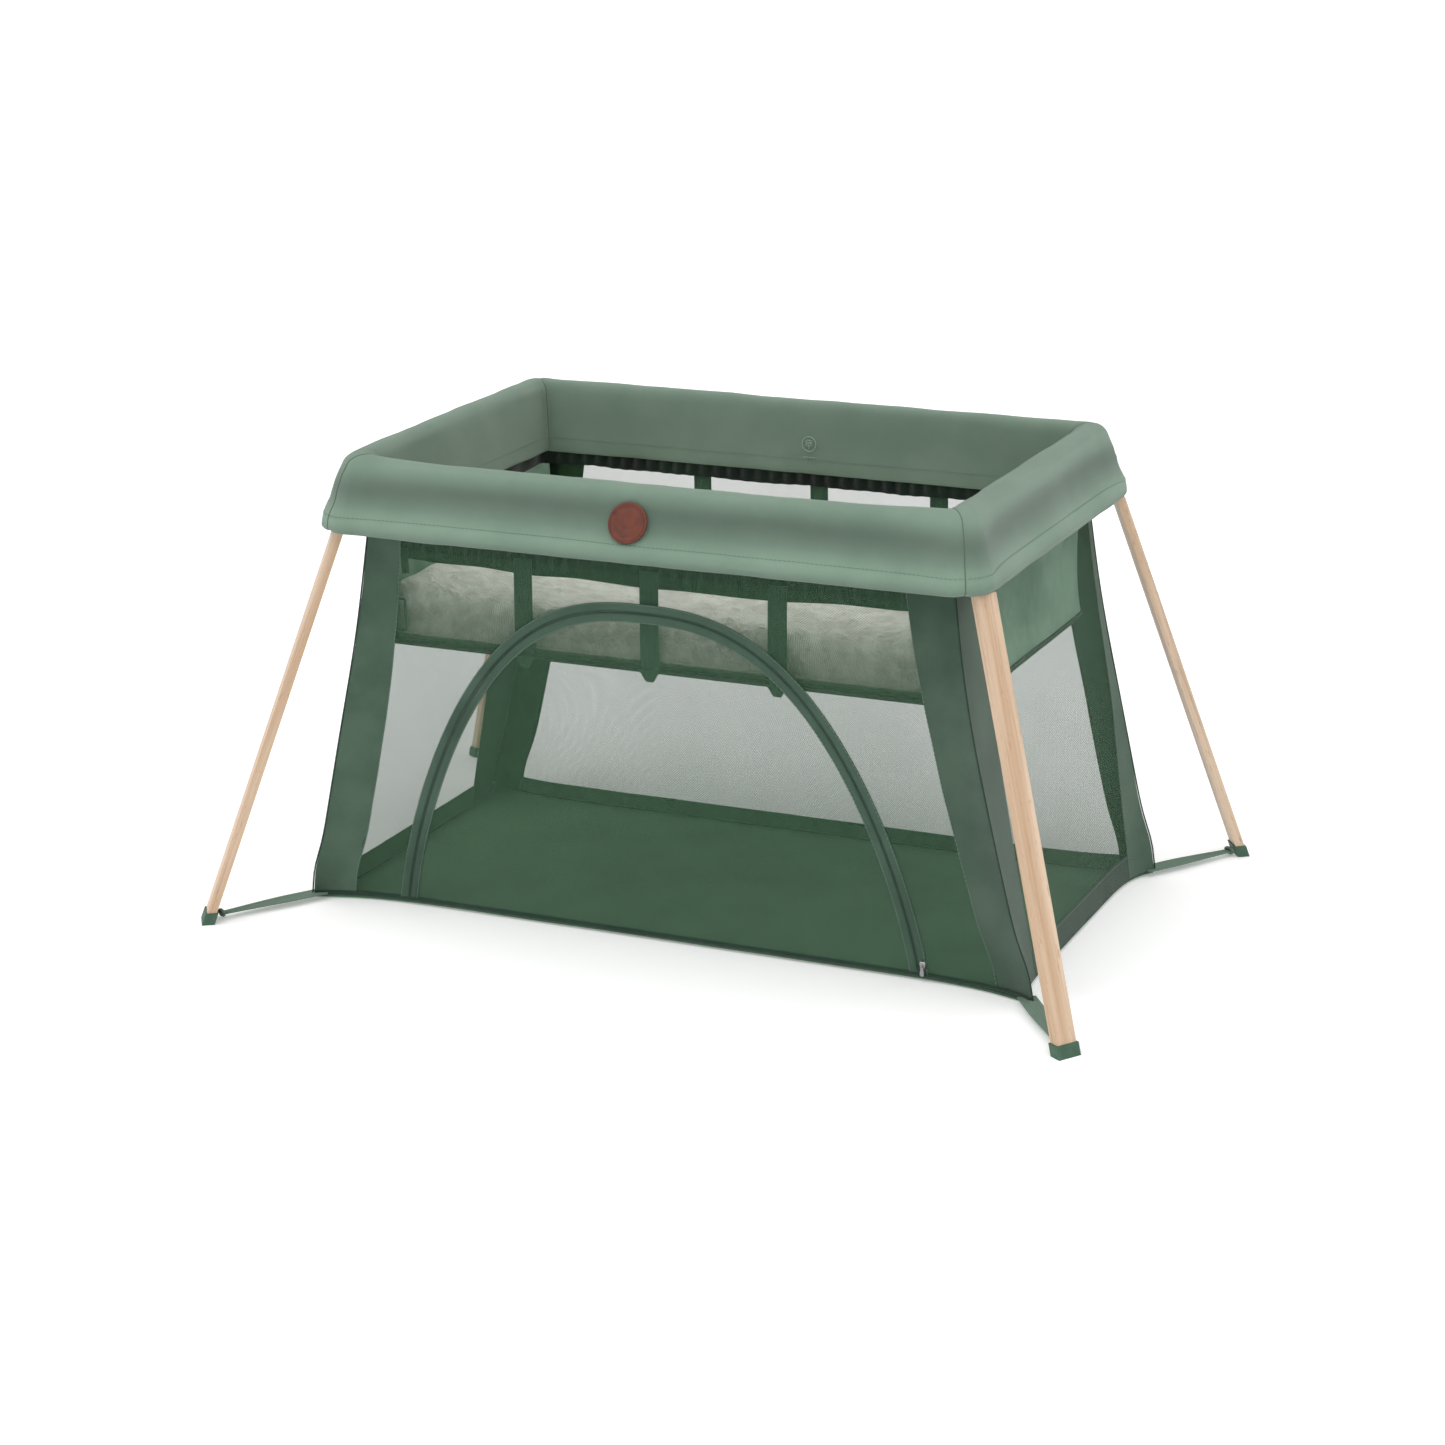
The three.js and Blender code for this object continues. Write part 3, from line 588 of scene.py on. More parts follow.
def stitches(name, path, material, normals, pitch=0.0062, size=(0.0042, 0.0011, 0.0011)):
    """A row of stitches at even steps along a path on the cloth; normals is one way or one for each point."""
    path = np.asarray(path, float)
    normals = np.broadcast_to(np.asarray(normals, float), path.shape)
    lengths = run_lengths(path)
    stations = np.arange(pitch / 2, lengths[-1], pitch)
    def along(values, shift=0.0):
        return np.stack([np.interp(stations + shift, lengths, values[:, k]) for k in range(3)], axis=1)
    ways = along(path, 0.001) - along(path, -0.001)
    return beads(name, along(path) + 0.0002 * along(normals), ways, along(normals), size, material)


def finish_piece(piece, body, slot, fold=None, keep=FOLD_KEEP, anchor=FOLD_ANCHOR, replaces=()):
    """Rides a body and hides the CAD parts it replaces; a piece given a fold gets a mesh of its own."""
    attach(piece, body)
    if replaces:
        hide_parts(*replaces)
    if fold is not None:
        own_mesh(piece)
        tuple(fold)
    return piece


def cloth_piece(piece, body, slot, held, rests_on, **ways):
    """finish_piece for a sheet of cloth."""
    finish_piece(piece, body, slot, **ways)
    return piece


def wrinkle(point, scale, seed):
    """Smooth noise from -1 to 1 at a place."""
    return noise.noise(Vector(point) * scale + Vector((seed, seed * 0.37, seed * 0.71)))


# ---- outlines shared with the CAD model --------------------------------------------
def wall_corner(z):
    t = (CORNER_TOP - z) / CORNER_TOP
    drawn_in = 0.0035 * math.exp(-((z - 0.40) / 0.12) ** 2) - 0.0050 * math.exp(-((z - 0.045) / 0.035) ** 2)
    return 0.4147 + 0.0794 * t + 0.0324 * t * t - drawn_in, 0.270 + 0.0346 * t - 0.0366 * t * t


def long_wall_y(x, z):
    corner_x, corner_y = wall_corner(z)
    middle = 0.270 - 0.034 * (CORNER_TOP - z) / CORNER_TOP
    return middle + (corner_y - middle) * min(1, abs(x) / corner_x) ** 10


def end_wall_x(y, z):
    corner_x, corner_y = wall_corner(z)
    t = (CORNER_TOP - z) / CORNER_TOP
    middle = 0.4147 + 0.074 * t + 0.012 * t * t
    return middle + (corner_x - middle) * min(1, abs(y) / corner_y) ** 8


def long_point(x, z, sy, proud=0.0):
    return (x, sy * (long_wall_y(x, z) + proud), z)


def end_point(y, z, sx, proud=0.0):
    return (sx * (end_wall_x(y, z) + proud), y, z)


def arch_half(z, grow=0.0):
    """Half width of the arch's zip line at a height, or of a line outside it."""
    share = min(1.0, z / (ARCH["height"] + grow))
    return (ARCH["half"] + grow) * (1 - share ** ARCH["shoulder"]) ** (1 / ARCH["fullness"])


def post_edge(corner, z):
    """Where the long side's opaque strip ends, inward of the corner."""
    return wall_corner(z)[0] - float(np.interp(z, POST_HEIGHTS, POST_WIDTHS[corner]))


def end_strip(corner, z):
    """Width of the opaque strip on the end wall beside the corner."""
    return float(np.interp(z, POST_HEIGHTS, END_STRIPS[corner]))


def spaced(low, high, count):
    return np.linspace(low, high, count)


# ---- rim cover -----------------------------------------------------------------------
def catmull(points, per_span):
    """A smooth row of values through a list of points."""
    points = np.asarray(points, float)
    padded = np.concatenate((2 * points[:1] - points[1:2], points, 2 * points[-1:] - points[-2:-1]))
    rows = []
    for i in range(len(points) - 1):
        a, b, c, d = padded[i:i + 4]
        for step in range(per_span):
            t = step / per_span
            rows.append(0.5 * (2 * b + (c - a) * t + (2 * a - 5 * b + 4 * c - d) * t * t
                               + (3 * b - a - 3 * c + d) * t ** 3))
    rows.append(points[-1])
    return np.array(rows)


# Columns round half the rim: which stretch (front, corner, end, corner, back) and the share along it.
NEAR_SEAM = (0.955, 0.975, 0.986, 0.994)
RIM_COLUMNS = (
    [(0, f) for f in (*spaced(0, 0.94, 34), *NEAR_SEAM)]
    + [(1, f) for f in (0.0, 0.08, 0.2, 0.34, 0.48, 0.62, 0.76, 0.9)]
    + [(2, f) for f in (*spaced(0, 1, 22),)]
    + [(3, f) for f in (0.1, 0.24, 0.38, 0.52, 0.66, 0.8, 0.92, 1.0)]
    + [(4, f) for f in (*(1 - f for f in NEAR_SEAM[::-1]), *spaced(0.06, 1, 34))]
)
RIM_TOP_ROW = 30  # where the outer cloth turns into the lining
RIM_HEM_ROWS = {"outer_hem": 9, "inner_hem": -8}
SEAM_COLUMNS = (RIM_COLUMNS.index((1, 0.34)), RIM_COLUMNS.index((3, 0.66)))


def rim_hollow(outline, share):
    """How far the outer face sinks between its roll and its flare, away from the corners."""
    x, _, z, _ = outline
    if x < 0.43:
        return 0.0
    return float(np.interp(z, *zip(*RIM_HOLLOW))) * (1 - abs(share) ** 8)


def rim_slump(z, stretch, share):
    """How far the crest of the front sinks: most in its middle, nothing beyond its corners."""
    amount = {0: 1 - 0.5 * share ** 6, 1: 0.5 * (1 - share)}.get(stretch, 0.0)
    return RIM_SLUMP * amount * min(1.0, max(0.0, (z - 0.598) / 0.034))


def rim_place(outline, column, sx):
    x, y, z, r = outline
    stretch, share = column
    z_placed = z - rim_slump(z, stretch, share)
    if stretch in (0, 4):
        along, edge = (share, -1) if stretch == 0 else (1 - share, 1)
        held = 1 - 0.45 * math.exp(-((sx * along * x - BADGE["x"]) / 0.07) ** 2) * (edge < 0)
        place = (sx * along * (x - r), edge * (y - held * rim_hollow(outline, along)))
    elif stretch == 2:
        place = (sx * (x - rim_hollow(outline, 2 * share - 1)), (2 * share - 1) * (y - r))
    else:
        angle = math.radians(-90 + 90 * share) if stretch == 1 else math.radians(90 * share)
        centre_y = -(y - r) if stretch == 1 else y - r
        place = (sx * (x - r + r * math.cos(angle)), centre_y + r * math.sin(angle))
    return (place[0] + RIM_DRIFT * min(1.0, abs(place[0]) / 0.3), place[1], z_placed)


def rim_grid(sx):
    outlines = catmull(RIM_OUTLINES, 3)
    grid = np.array([[rim_place(o, c, sx) for c in RIM_COLUMNS] for o in outlines])
    normal, _ = outward(grid)
    # the profile turns over the rail, so the normals are taken on one side of the cloth throughout
    for i, row in enumerate(grid):
        for j, place in enumerate(row):
            stretch, share = RIM_COLUMNS[j]
            near = {0: 1 - share, 4: share}.get(stretch, 0.0)
            soft = 0.0012 * wrinkle(place, 9, 3.1) + 0.0007 * wrinkle(place, 31, 8.4)
            pull = 0.0011 * math.exp(-near * 9) * wrinkle((place[0], place[1], place[2] * 4), 24, 5.2)
            groove = 0.0014 * (j in SEAM_COLUMNS)
            grid[i, j] += normal[i, j] * (soft + pull - groove - 0.0006)
    return grid


def rim_piece(piece, side, slot="rim_fabric", replaces=()):
    """finish_piece for what lies on the rim."""
    return finish_piece(piece, f"{side}_frame", slot, (0, 0, 1), RIM_KEEP, RIM_ANCHOR, replaces)


def make_rim(cloth, lining_cloth, thread, sleeve_cloth):
    for side, sx in SIDES.items():
        grid = rim_grid(sx)
        normal = outward(grid)[0]
        cover = shell(f"rim_cover_{side}_cloth", grid, cloth, RIM_SKIN)
        cover.data.materials.append(lining_cloth)
        rows, columns = grid.shape[0] - 1, grid.shape[1] - 1
        for polygon in cover.data.polygons[:2 * rows * columns]:
            polygon.material_index = int(polygon.index // columns % rows >= RIM_TOP_ROW)
        rim_piece(cover, side, replaces=(f"rim_cover_{side}",))
        for name, row in RIM_HEM_ROWS.items():
            line = grid[row] + 0.0001 * normal[row]
            rim_piece(stitches(f"rim_{name}_stitches_{side}", line, thread, normal[row]), side)
        for edge, column in zip(EDGES, SEAM_COLUMNS):
            line = grid[1:-1, column] + 0.0002 * normal[1:-1, column]
            rim_piece(tube(f"rim_seam_{edge}_{side}", line, 0.0006, sleeve_cloth, sides=6), side)
    for edge, sy in EDGES.items():
        make_sleeve(edge, sy, sleeve_cloth)


def make_sleeve(edge, sy, cloth):
    """Soft sleeve round the centre hinge, inside the rim cover."""
    y, z = SLEEVE["y"], SLEEVE["z"]
    grid = [[(x, sy * y + SLEEVE["half_width"] * math.cos(a) * (1 + 0.05 * math.sin(90 * x)),
              z + SLEEVE["half_height"] * math.sin(a)) for a in spaced(0, 2 * math.pi, 25)]
            for x in spaced(-SLEEVE["reach"], SLEEVE["reach"], 31)]
    sleeve = shell(f"hinge_sleeve_{edge}", grid, cloth, 0.0012)
    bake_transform(sleeve)


def make_badge(hide, thread):
    """Round leather patch with a raised ring and a generic pebble mark, lying on the rim's front."""
    outlines = catmull(RIM_OUTLINES, 12)
    share = -BADGE["x"] / (RIM_OUTLINES[5][0] - RIM_OUTLINES[5][3])
    line = np.array([rim_place(outline, (0, share), -1) for outline in outlines[:80]])
    levels = (-BADGE["lies_on"], 0, BADGE["lies_on"])
    low, middle, high = (line[np.argmin(np.abs(line[:, 2] - BADGE["z"] - level))] for level in levels)
    across, up = Vector((1, 0, 0)), Vector(high - low).normalized()
    out = across.cross(up)
    centre = Vector((BADGE["x"], min((high[1] + low[1]) / 2, middle[1]), BADGE["z"])) + 0.0008 * out
    thickness, sides = BADGE["thickness"], 64

    def place(share, angle, height):
        ray = math.cos(angle) * across + math.sin(angle) * up
        return centre + BADGE["radius"] * share * ray + height * out

    vertices = [place(0, 0, thickness)]
    for share, height in BADGE_PROFILE:
        for k in range(sides):
            angle = 2 * math.pi * k / sides
            bend = 0.0009 * (share * math.sin(angle)) ** 2
            vertices.append(place(share, angle, thickness * height + bend))
    faces = [(0, 1 + k, 1 + (k + 1) % sides) for k in range(sides)]
    faces += [face[::-1] for face in ring_faces(len(BADGE_PROFILE), sides, 1)[:-2]]
    faces.append(tuple(range(len(vertices) - sides, len(vertices)))[::-1])
    patch = mesh_object("leather_badge", vertices, faces, hide)
    rim_piece(patch, "left", "leather", ("badge",))
    ring = [place(0.87, angle, thickness + 0.0003) for angle in spaced(0, 2 * math.pi, 97)]
    row = stitches("badge_stitches", ring, thread, out, 0.0036, (0.0024, 0.0007, 0.0007))
    rim_piece(row, "left", "leather")


# ---- walls ---------------------------------------------------------------------------
HEIGHTS = spaced(WALL_LOW, WALL_HIGH, 36)


def wall_fold(out, lean=0.0):
    """The way a wall flattens as the frame folds: down, out towards its end, and leaning inwards."""
    return (out, lean, -WALL_DROP)


def make_post(edge, sy, side, sx, cloth, lining, piping, thread):
    """Opaque panel wrapped round a corner, piped down its edge and hemmed beside the net."""
    name, body, fold = f"{edge}_{side}", f"{side}_frame", wall_fold(sx * 0.11)
    round_off = 0.0012
    def row(z):
        corner_x, corner_y = wall_corner(z)
        width, strip = corner_x - post_edge(name, z), end_strip(name, z)
        near = round_off + (width - round_off) * spaced(1, 0, 12) ** 1.7
        points = [long_point(sx * (corner_x - away), z, sy, 0.0006) for away in near]
        near = round_off + (strip - round_off) * spaced(0, 1, 12) ** 1.7
        return points + [end_point(sy * (corner_y - away), z, sx, 0.0006) for away in near]
    grid = np.array([row(z) for z in HEIGHTS])
    for i, line in enumerate(grid):
        for j, place in enumerate(line):
            folds = wrinkle((place[0], place[1], place[2] * 0.25), 26, 2.2)
            grid[i, j, 1] += sy * (0.0012 * wrinkle(place, 11, 2.2) + 0.0014 * folds)
            grid[i, j, 0] += sx * 0.0008 * wrinkle(place, 13, 6.1)
    panel = shell(f"corner_panel_{name}", grid, cloth, 0.0011, lining=lining)
    cloth_piece(panel, body, "wall_fabric", "stretched", [f"rim_cover_{side}_cloth"], fold=fold,
                replaces=(f"{edge}_wall_{side}",))
    corners = np.array([(*wall_corner(z), z) for z in HEIGHTS])
    edge_line = (corners + (0.0004, 0.0004, 0)) * (sx, sy, 1)
    finish_piece(tube(f"corner_piping_{name}", edge_line, 0.0011, piping), body, "wall_fabric", fold)
    hem = grid[:, 0] * 0.93 + grid[:, 1] * 0.07
    finish_piece(stitches(f"corner_stitches_{name}", hem, thread, (0, sy, 0)), body, "wall_fabric", fold)


def arch_heights(count=26, grow=0.0):
    """Heights up the arch, close together near its top."""
    top = ARCH["height"] + grow
    return [WALL_LOW + (top - WALL_LOW) * math.sin(math.pi / 2 * share) for share in spaced(0, 1, count)]


def arch_edge(z, sx, grow=0.0):
    """Where one half's zip line is at a height; the line stops at the pen's middle."""
    return sx * max(0.0, sx * ARCH["x"] + arch_half(z, grow))


def make_front_window(side, sx, net):
    rows = []
    for z in [*arch_heights(), *spaced(ARCH["height"] + 0.0005, WALL_HIGH, 6)]:
        inner = arch_edge(z, sx) if z < ARCH["height"] else 0.0
        outer = sx * (post_edge(f"front_{side}", z) + NET_LAP)
        rows.append([long_point(x, z, -1) for x in inner + (outer - inner) * spaced(0, 1, 9)])
    window = net_sheet(f"front_net_{side}", rows, net, towards=(0, -1, 0))
    cloth_piece(window, f"{side}_frame", "door_mesh", "stretched", [f"corner_panel_front_{side}"],
                fold=wall_fold(sx * 0.08, WALL_LEAN))


def foot_binding(name, sx, start, end, count, proud, binding):
    """Bound lower edge of the front wall between two distances from the middle."""
    line = [long_point(sx * x, WALL_LOW + 0.002, -1, proud) for x in spaced(start, end, count)]
    return tube(name, line, 0.0022, binding, flat=1.5)


def make_door(side, sx, net, tape, binding):
    """Half of the arch door: net, its side of the zip tape and the bottom binding."""
    body, fold = f"door_{side}", wall_fold(0, WALL_LEAN)
    rows = [[long_point(x, z, -1, 0.0003) for x in arch_edge(z, sx) * spaced(0, 1, 15)]
            for z in arch_heights()]
    door = net_sheet(f"door_net_{side}", rows, net, towards=(0, -1, 0))
    cloth_piece(door, body, "door_mesh", "stretched", [f"zip_tape_{side}"], fold=fold, replaces=(body,))
    band = shell(f"door_tape_{side}", zip_band(sx, -1.1 * TAPE, -0.0002), tape, 0.0012, towards=(0, -1, 0))
    finish_piece(band, body, "door_mesh", fold)
    hem = foot_binding(f"door_binding_{side}", sx, 0.0, ARCH["half"] + sx * ARCH["x"], 25, 0.0012, binding)
    finish_piece(hem, body, "door_mesh", fold)


def zip_line(sx, grow, count=60):
    """Points of a line that runs beside the zip on one half, from the ground to the middle."""
    line = [(arch_edge(z, sx, grow), z) for z in arch_heights(count, grow)]
    if sx > 0:
        return line
    return line + [(ARCH["x"] * (1 - share), ARCH["height"] + grow) for share in (0.5, 1.0)]


def zip_band(sx, near, far):
    """Crowned strip of tape between two lines beside the zip."""
    low, high = np.array(zip_line(sx, near)), np.array(zip_line(sx, far))
    return [[long_point(x, z, -1, 0.0016 + 0.0006 * math.sin(math.pi * share))
             for x, z in low + (high - low) * share] for share in spaced(0, 1, 4)]


def make_zip(side, sx, tape, teeth_finish, thread):
    fold = wall_fold(sx * 0.03, WALL_LEAN)
    band = shell(f"zip_tape_{side}", zip_band(sx, 0.0002, 1.1 * TAPE), tape, 0.0012, towards=(0, -1, 0))
    finish_piece(band, f"{side}_frame", "door_mesh", fold)
    for kind, finish, away, proud, size in (
            ("zip_teeth", teeth_finish, 0.0012, 0.0022, {"pitch": 0.0030, "size": (0.0018, 0.0021, 0.0016)}),
            ("tape_stitches", thread, TAPE, 0.0020, {})):
        for name, grow, body in (("outer", away, f"{side}_frame"), ("door", -away, f"door_{side}")):
            line = [long_point(x, z, -1, proud) for x, z in zip_line(sx, grow, 120)]
            row = stitches(f"{kind}_{name}_{side}", line, finish, (0, -1, 0), **size)
            finish_piece(row, body, "door_mesh", fold)


def make_front_hem(side, sx, binding):
    """Binding along the bottom of the front wall, between the corner panel and the door."""
    start, end = ARCH["half"] + sx * ARCH["x"] + 0.002, wall_corner(WALL_LOW)[0] - 0.003
    hem = foot_binding(f"front_hem_{side}", sx, start, end, 18, 0.001, binding)
    finish_piece(hem, f"{side}_frame", "wall_fabric", wall_fold(sx * 0.08, WALL_LEAN))


def net_wall(wall, side, towards, place, columns, seed, cloths, fold, panels, **ways):
    """Net between two corner panels, with a stitched band of cloth along its foot.

    place gives a point from a share of the net's half width there, a height, how proud it stands and,
    where it isn't the point's own, the height at which the net's width is taken.
    """
    net, cloth, thread = cloths
    body, top, start = f"{side}_frame", BAND_TOPS[wall], 0 if wall == "back" else -1
    rows = [[place(share, z, 0.0) for share in spaced(start, 1, columns)]
            for z in spaced(top - 0.004, WALL_HIGH, 24)]
    sheet = net_sheet(f"{wall}_net_{side}", rows, net, towards=towards)
    cloth_piece(sheet, body, "door_mesh", "stretched", panels, fold=fold, **ways)
    rows = [[place(share, z, 0.0005 + 0.0012 * wrinkle((share, z, SIDES[side]), 7, seed))
             for share in spaced(start, 1, 26)] for z in spaced(WALL_LOW, top, 6 if start == 0 else 7)]
    band = shell(f"{wall}_band_{side}", rows, cloth, 0.001, towards=towards)
    cloth_piece(band, body, "wall_fabric", "stretched", [sheet.name], fold=fold)
    line = [place(share, top - 0.003, 0.0012, HEM_LEVELS[wall]) for share in spaced(start, 1, 40)]
    finish_piece(stitches(f"{wall}_band_stitches_{side}", line, thread, towards), body, "wall_fabric", fold)


def make_back_wall(side, sx, *cloths):
    def place(share, z, proud, level=None):
        return long_point(sx * share * (post_edge(f"back_{side}", level or z) + NET_LAP), z, 1, proud)
    net_wall("back", side, (0, 1, 0), place, 18, 1.3, cloths, wall_fold(0, -WALL_LEAN),
             [f"corner_panel_back_{side}"])


def make_end_wall(side, sx, *cloths):
    def place(share, z, proud, level=None):
        strip = end_strip(f"front_{side}" if share < 0 else f"back_{side}", level or z)
        return end_point(share * (wall_corner(level or z)[1] - strip + NET_LAP), z, sx, proud)
    net_wall("end", side, (sx, 0, 0), place, 24, 4.3, cloths, wall_fold(sx * 0.10),
             [f"corner_panel_front_{side}", f"corner_panel_back_{side}"], replaces=(f"end_wall_{side}",))


# ---- floor ---------------------------------------------------------------------------
def make_floor(side, sx, cloth, piping):
    """Padded mat with rounded edges, piped round its rim."""
    low, high = FLOOR["low"], FLOOR["high"]
    def place(share, across):
        y = across * (long_wall_y(share * wall_corner(FLOOR["level"])[0], FLOOR["level"]) - FLOOR["gap"])
        return sx * share * (end_wall_x(y, FLOOR["level"]) - FLOOR["gap"]), y, high
    rows = []
    for across in spaced(-1, 1, 34):
        row = []
        for share in spaced(0, 1, 34):
            edge = min(1.0, (1 - abs(across)) / 0.10, (1 - share) / 0.06)
            swell = 0.0024 * math.sin(math.pi / 2 * edge)
            x, y, z = place(share, across)
            row.append((x, y, z + swell + 0.0009 * wrinkle((x, y, 0), 8, 7.7)))
        rows.append(row)
    pad = shell(f"floor_mat_{side}", rows, cloth, high - low, towards=(0, 0, 1))
    body, fold = f"{side}_frame", (0, 0, -1)
    finish_piece(pad, body, "floor_fabric", fold, replaces=(f"floor_{side}",))
    border = [place(share, -1) for share in spaced(0, 0.985, 30)]
    border += [place(1.0, across) for across in spaced(-0.99, 0.99, 36)]
    border += [place(share, 1) for share in spaced(0.985, 0, 30)]
    finish_piece(tube(f"floor_piping_{side}", border, 0.0018, piping), body, "floor_fabric", fold)


# ---- bassinet ------------------------------------------------------------------------
def bassinet_section(z):
    """Half sizes and corner radius of the bassinet at a height."""
    share = (BASSINET["top"] - z) / (BASSINET["top"] - BASSINET["floor"])
    x = BASSINET["x"] + (BASSINET["x_low"] - BASSINET["x"]) * share
    return x, BASSINET["y"], BASSINET["r"] + (BASSINET["r_low"] - BASSINET["r"]) * share


def bassinet_loop(sx, z, count_long, count_end, inset=0.0):
    """Half of the bassinet's outline at a height, from the front's middle round to the back's."""
    x, y, r = (size - inset for size in bassinet_section(z))
    quarter = [(r * math.sin(a), r * math.cos(a)) for a in spaced(0, math.pi / 2, 6)]
    points = [(sx * share * (x - r), -y) for share in spaced(0, 1, count_long)[:-1]]
    points += [(sx * (x - r + out), -(y - r) - along) for out, along in quarter]
    points += [(sx * x, share * (y - r)) for share in spaced(-1, 1, count_end)[1:-1]]
    points += [(sx * (x - r + out), y - r + along) for along, out in quarter]
    return points + [(sx * share * (x - r), y) for share in spaced(1, 0, count_long)[1:]]


def band_hem(py):
    """Height of the gathered band's lower edge: lower on the front than on the back."""
    return NET_TOP[-1] + (NET_TOP[1] - NET_TOP[-1]) * (0.5 + 0.5 * max(-1.0, min(1.0, py / 0.2)))


def bassinet_part(piece, side, slot, held=None, rests_on=(), replaces=()):
    body = f"bassinet_{side}"
    if held:
        return cloth_piece(piece, body, slot, held, rests_on, fold=BASSINET_FOLD, replaces=replaces)
    return finish_piece(piece, body, slot, fold=BASSINET_FOLD, replaces=replaces)


def rounded_reach(x, y, r, py):
    """How far out a rectangle with round corners reaches at a place across it."""
    over = max(0.0, abs(py) - (y - r))
    return x - (r - math.sqrt(max(0.0, r * r - over * over)))


def make_bassinet_band(side, sx, cloth):
    """Gathered band round the bassinet's top."""
    y, top = BASSINET["y"], BASSINET["top"] - 0.003
    rows = []
    for share in spaced(0, 1, 12):
        row = []
        for k, (px, py) in enumerate(bassinet_loop(sx, top, 150, 70)):
            ripple = 0.0034 * math.sin(k * 0.8 + 2.6 * wrinkle((px, py, 0), 6, 2.0))
            ripple *= 0.55 + 0.45 * wrinkle((px, py, share * 0.05), 18, 7.0)
            ripple *= math.sin(math.pi * share) ** 0.5
            sag = 0.0030 * wrinkle((px, py, 0), 14, 9.0) + 0.0065 * (1 - (px / BASSINET["x"]) ** 2) * (py < 0)
            z = top + (band_hem(py) - sag - top) * share
            on_long_side = abs(abs(py) - y) < 0.004
            nx, ny = (0, math.copysign(1, py)) if on_long_side else (math.copysign(1, px), 0)
            wider = (bassinet_section(z)[0] + BAND_CLEAR * (sx < 0)) / BASSINET["x"]
            row.append((px * wider + nx * (ripple - 0.001), py + ny * (ripple - 0.002), z))
        rows.append(row)
    bassinet_part(shell(f"bassinet_band_{side}", rows, cloth, 0.0012), side, "bassinet_fabric",
                  "gathered", [f"rim_cover_{side}_cloth"], replaces=(f"bassinet_{side}",))


def make_bassinet(side, sx, net, panel_cloth, dark_cloth, strap_cloth, board_cloth):
    floor = BASSINET["floor"]
    # dark_cloth here is the band's cloth, darkened with painted shade
    make_bassinet_band(side, sx, dark_cloth)
    for edge, sy in EDGES.items():
        rows = []
        for z in spaced(floor + 0.008, NET_TOP[sy] + 0.010, 14):
            x, y, r = bassinet_section(z)
            rows.append([(sx * share * (x - r), sy * y, z) for share in spaced(0, 1, 14)])
        sheet = net_sheet(f"bassinet_net_{edge}_{side}", rows, net, towards=(0, sy, 0))
        bassinet_part(sheet, side, "bassinet_fabric", "stretched", [f"bassinet_band_{side}"])
    make_bassinet_end(side, sx, panel_cloth)
    line = [(px, py, floor + 0.007 + 0.001 * wrinkle((px, py, 0), 12, 3.3))
            for px, py in bassinet_loop(sx, floor, 30, 24, 0.001)]
    binding = tube(f"bassinet_binding_{side}", line, 0.0027, dark_cloth, flat=1.5)
    bassinet_part(binding, side, "bassinet_fabric")
    bassinet_part(bassinet_board(side, sx, board_cloth), side, "bassinet_fabric")
    for edge, sy in EDGES.items():
        for number, place in enumerate(STRAPS[edge], 1):
            if place * sx > 0:
                make_bassinet_strap(f"{edge}_{number}", place, edge, side, strap_cloth)


def bassinet_board(side, sx, cloth):
    """Flat bottom of the bassinet's half."""
    x, y, r = bassinet_section(BASSINET["floor"])
    inset = 0.003
    rows = []
    for py in (y - inset) * spaced(-1, 1, 15):
        reach = rounded_reach(x, y, r, py) - inset
        rows.append([(sx * share * reach, py, BASSINET["floor"] + 0.0028) for share in spaced(0, 1, 15)])
    return shell(f"bassinet_bottom_{side}", rows, cloth, 0.0024, towards=(0, 0, 1))


def make_bassinet_end(side, sx, cloth):
    """End panel, gathered at its top so that folds run down it, with a piece round each corner."""
    floor = BASSINET["floor"]
    rows = []
    for level in spaced(0, 1, 34):
        row = []
        for share in spaced(-1, 1, 90):
            py = share * (BASSINET["y"] - 0.001)
            z = floor + 0.004 + (band_hem(py) + 0.001 - floor) * level
            slant = py * (1 - 0.25 * level) * 2.4 + 0.5 * (z - 0.45)
            fold = 0.0070 * wrinkle((slant, 0.16 * z, sx), 14, 4.4)
            fold += 0.0046 * wrinkle((slant, 0.3 * z, 0), 34, 1.9)
            loose = math.sin(math.pi * min(1, level / 0.5) / 2) * min(1.0, (1 - abs(share)) / 0.08)
            out = (fold - 0.003) * loose * (1 - level ** 3) + 0.0085 * level ** 2
            row.append((sx * (rounded_reach(*bassinet_section(z), py) + out), py, z))
        rows.append(row)
    bassinet_part(shell(f"bassinet_end_panel_{side}", rows, cloth, 0.0012, towards=(sx, 0, 0)), side,
                  "bassinet_fabric", "gathered", [f"bassinet_band_{side}"])


def flat_strip(name, stations, towards, thickness, cloth):
    """Webbing across x at a list of stations: middle, width, y, how far its middle stands out, and height."""
    rows = [[(middle + width * share, y + towards * bow * math.cos(math.pi * share), z)
             for share in spaced(-0.5, 0.5, 6)] for middle, width, y, bow, z in stations]
    return shell(name, rows, cloth, thickness, towards=(0, towards, 0))


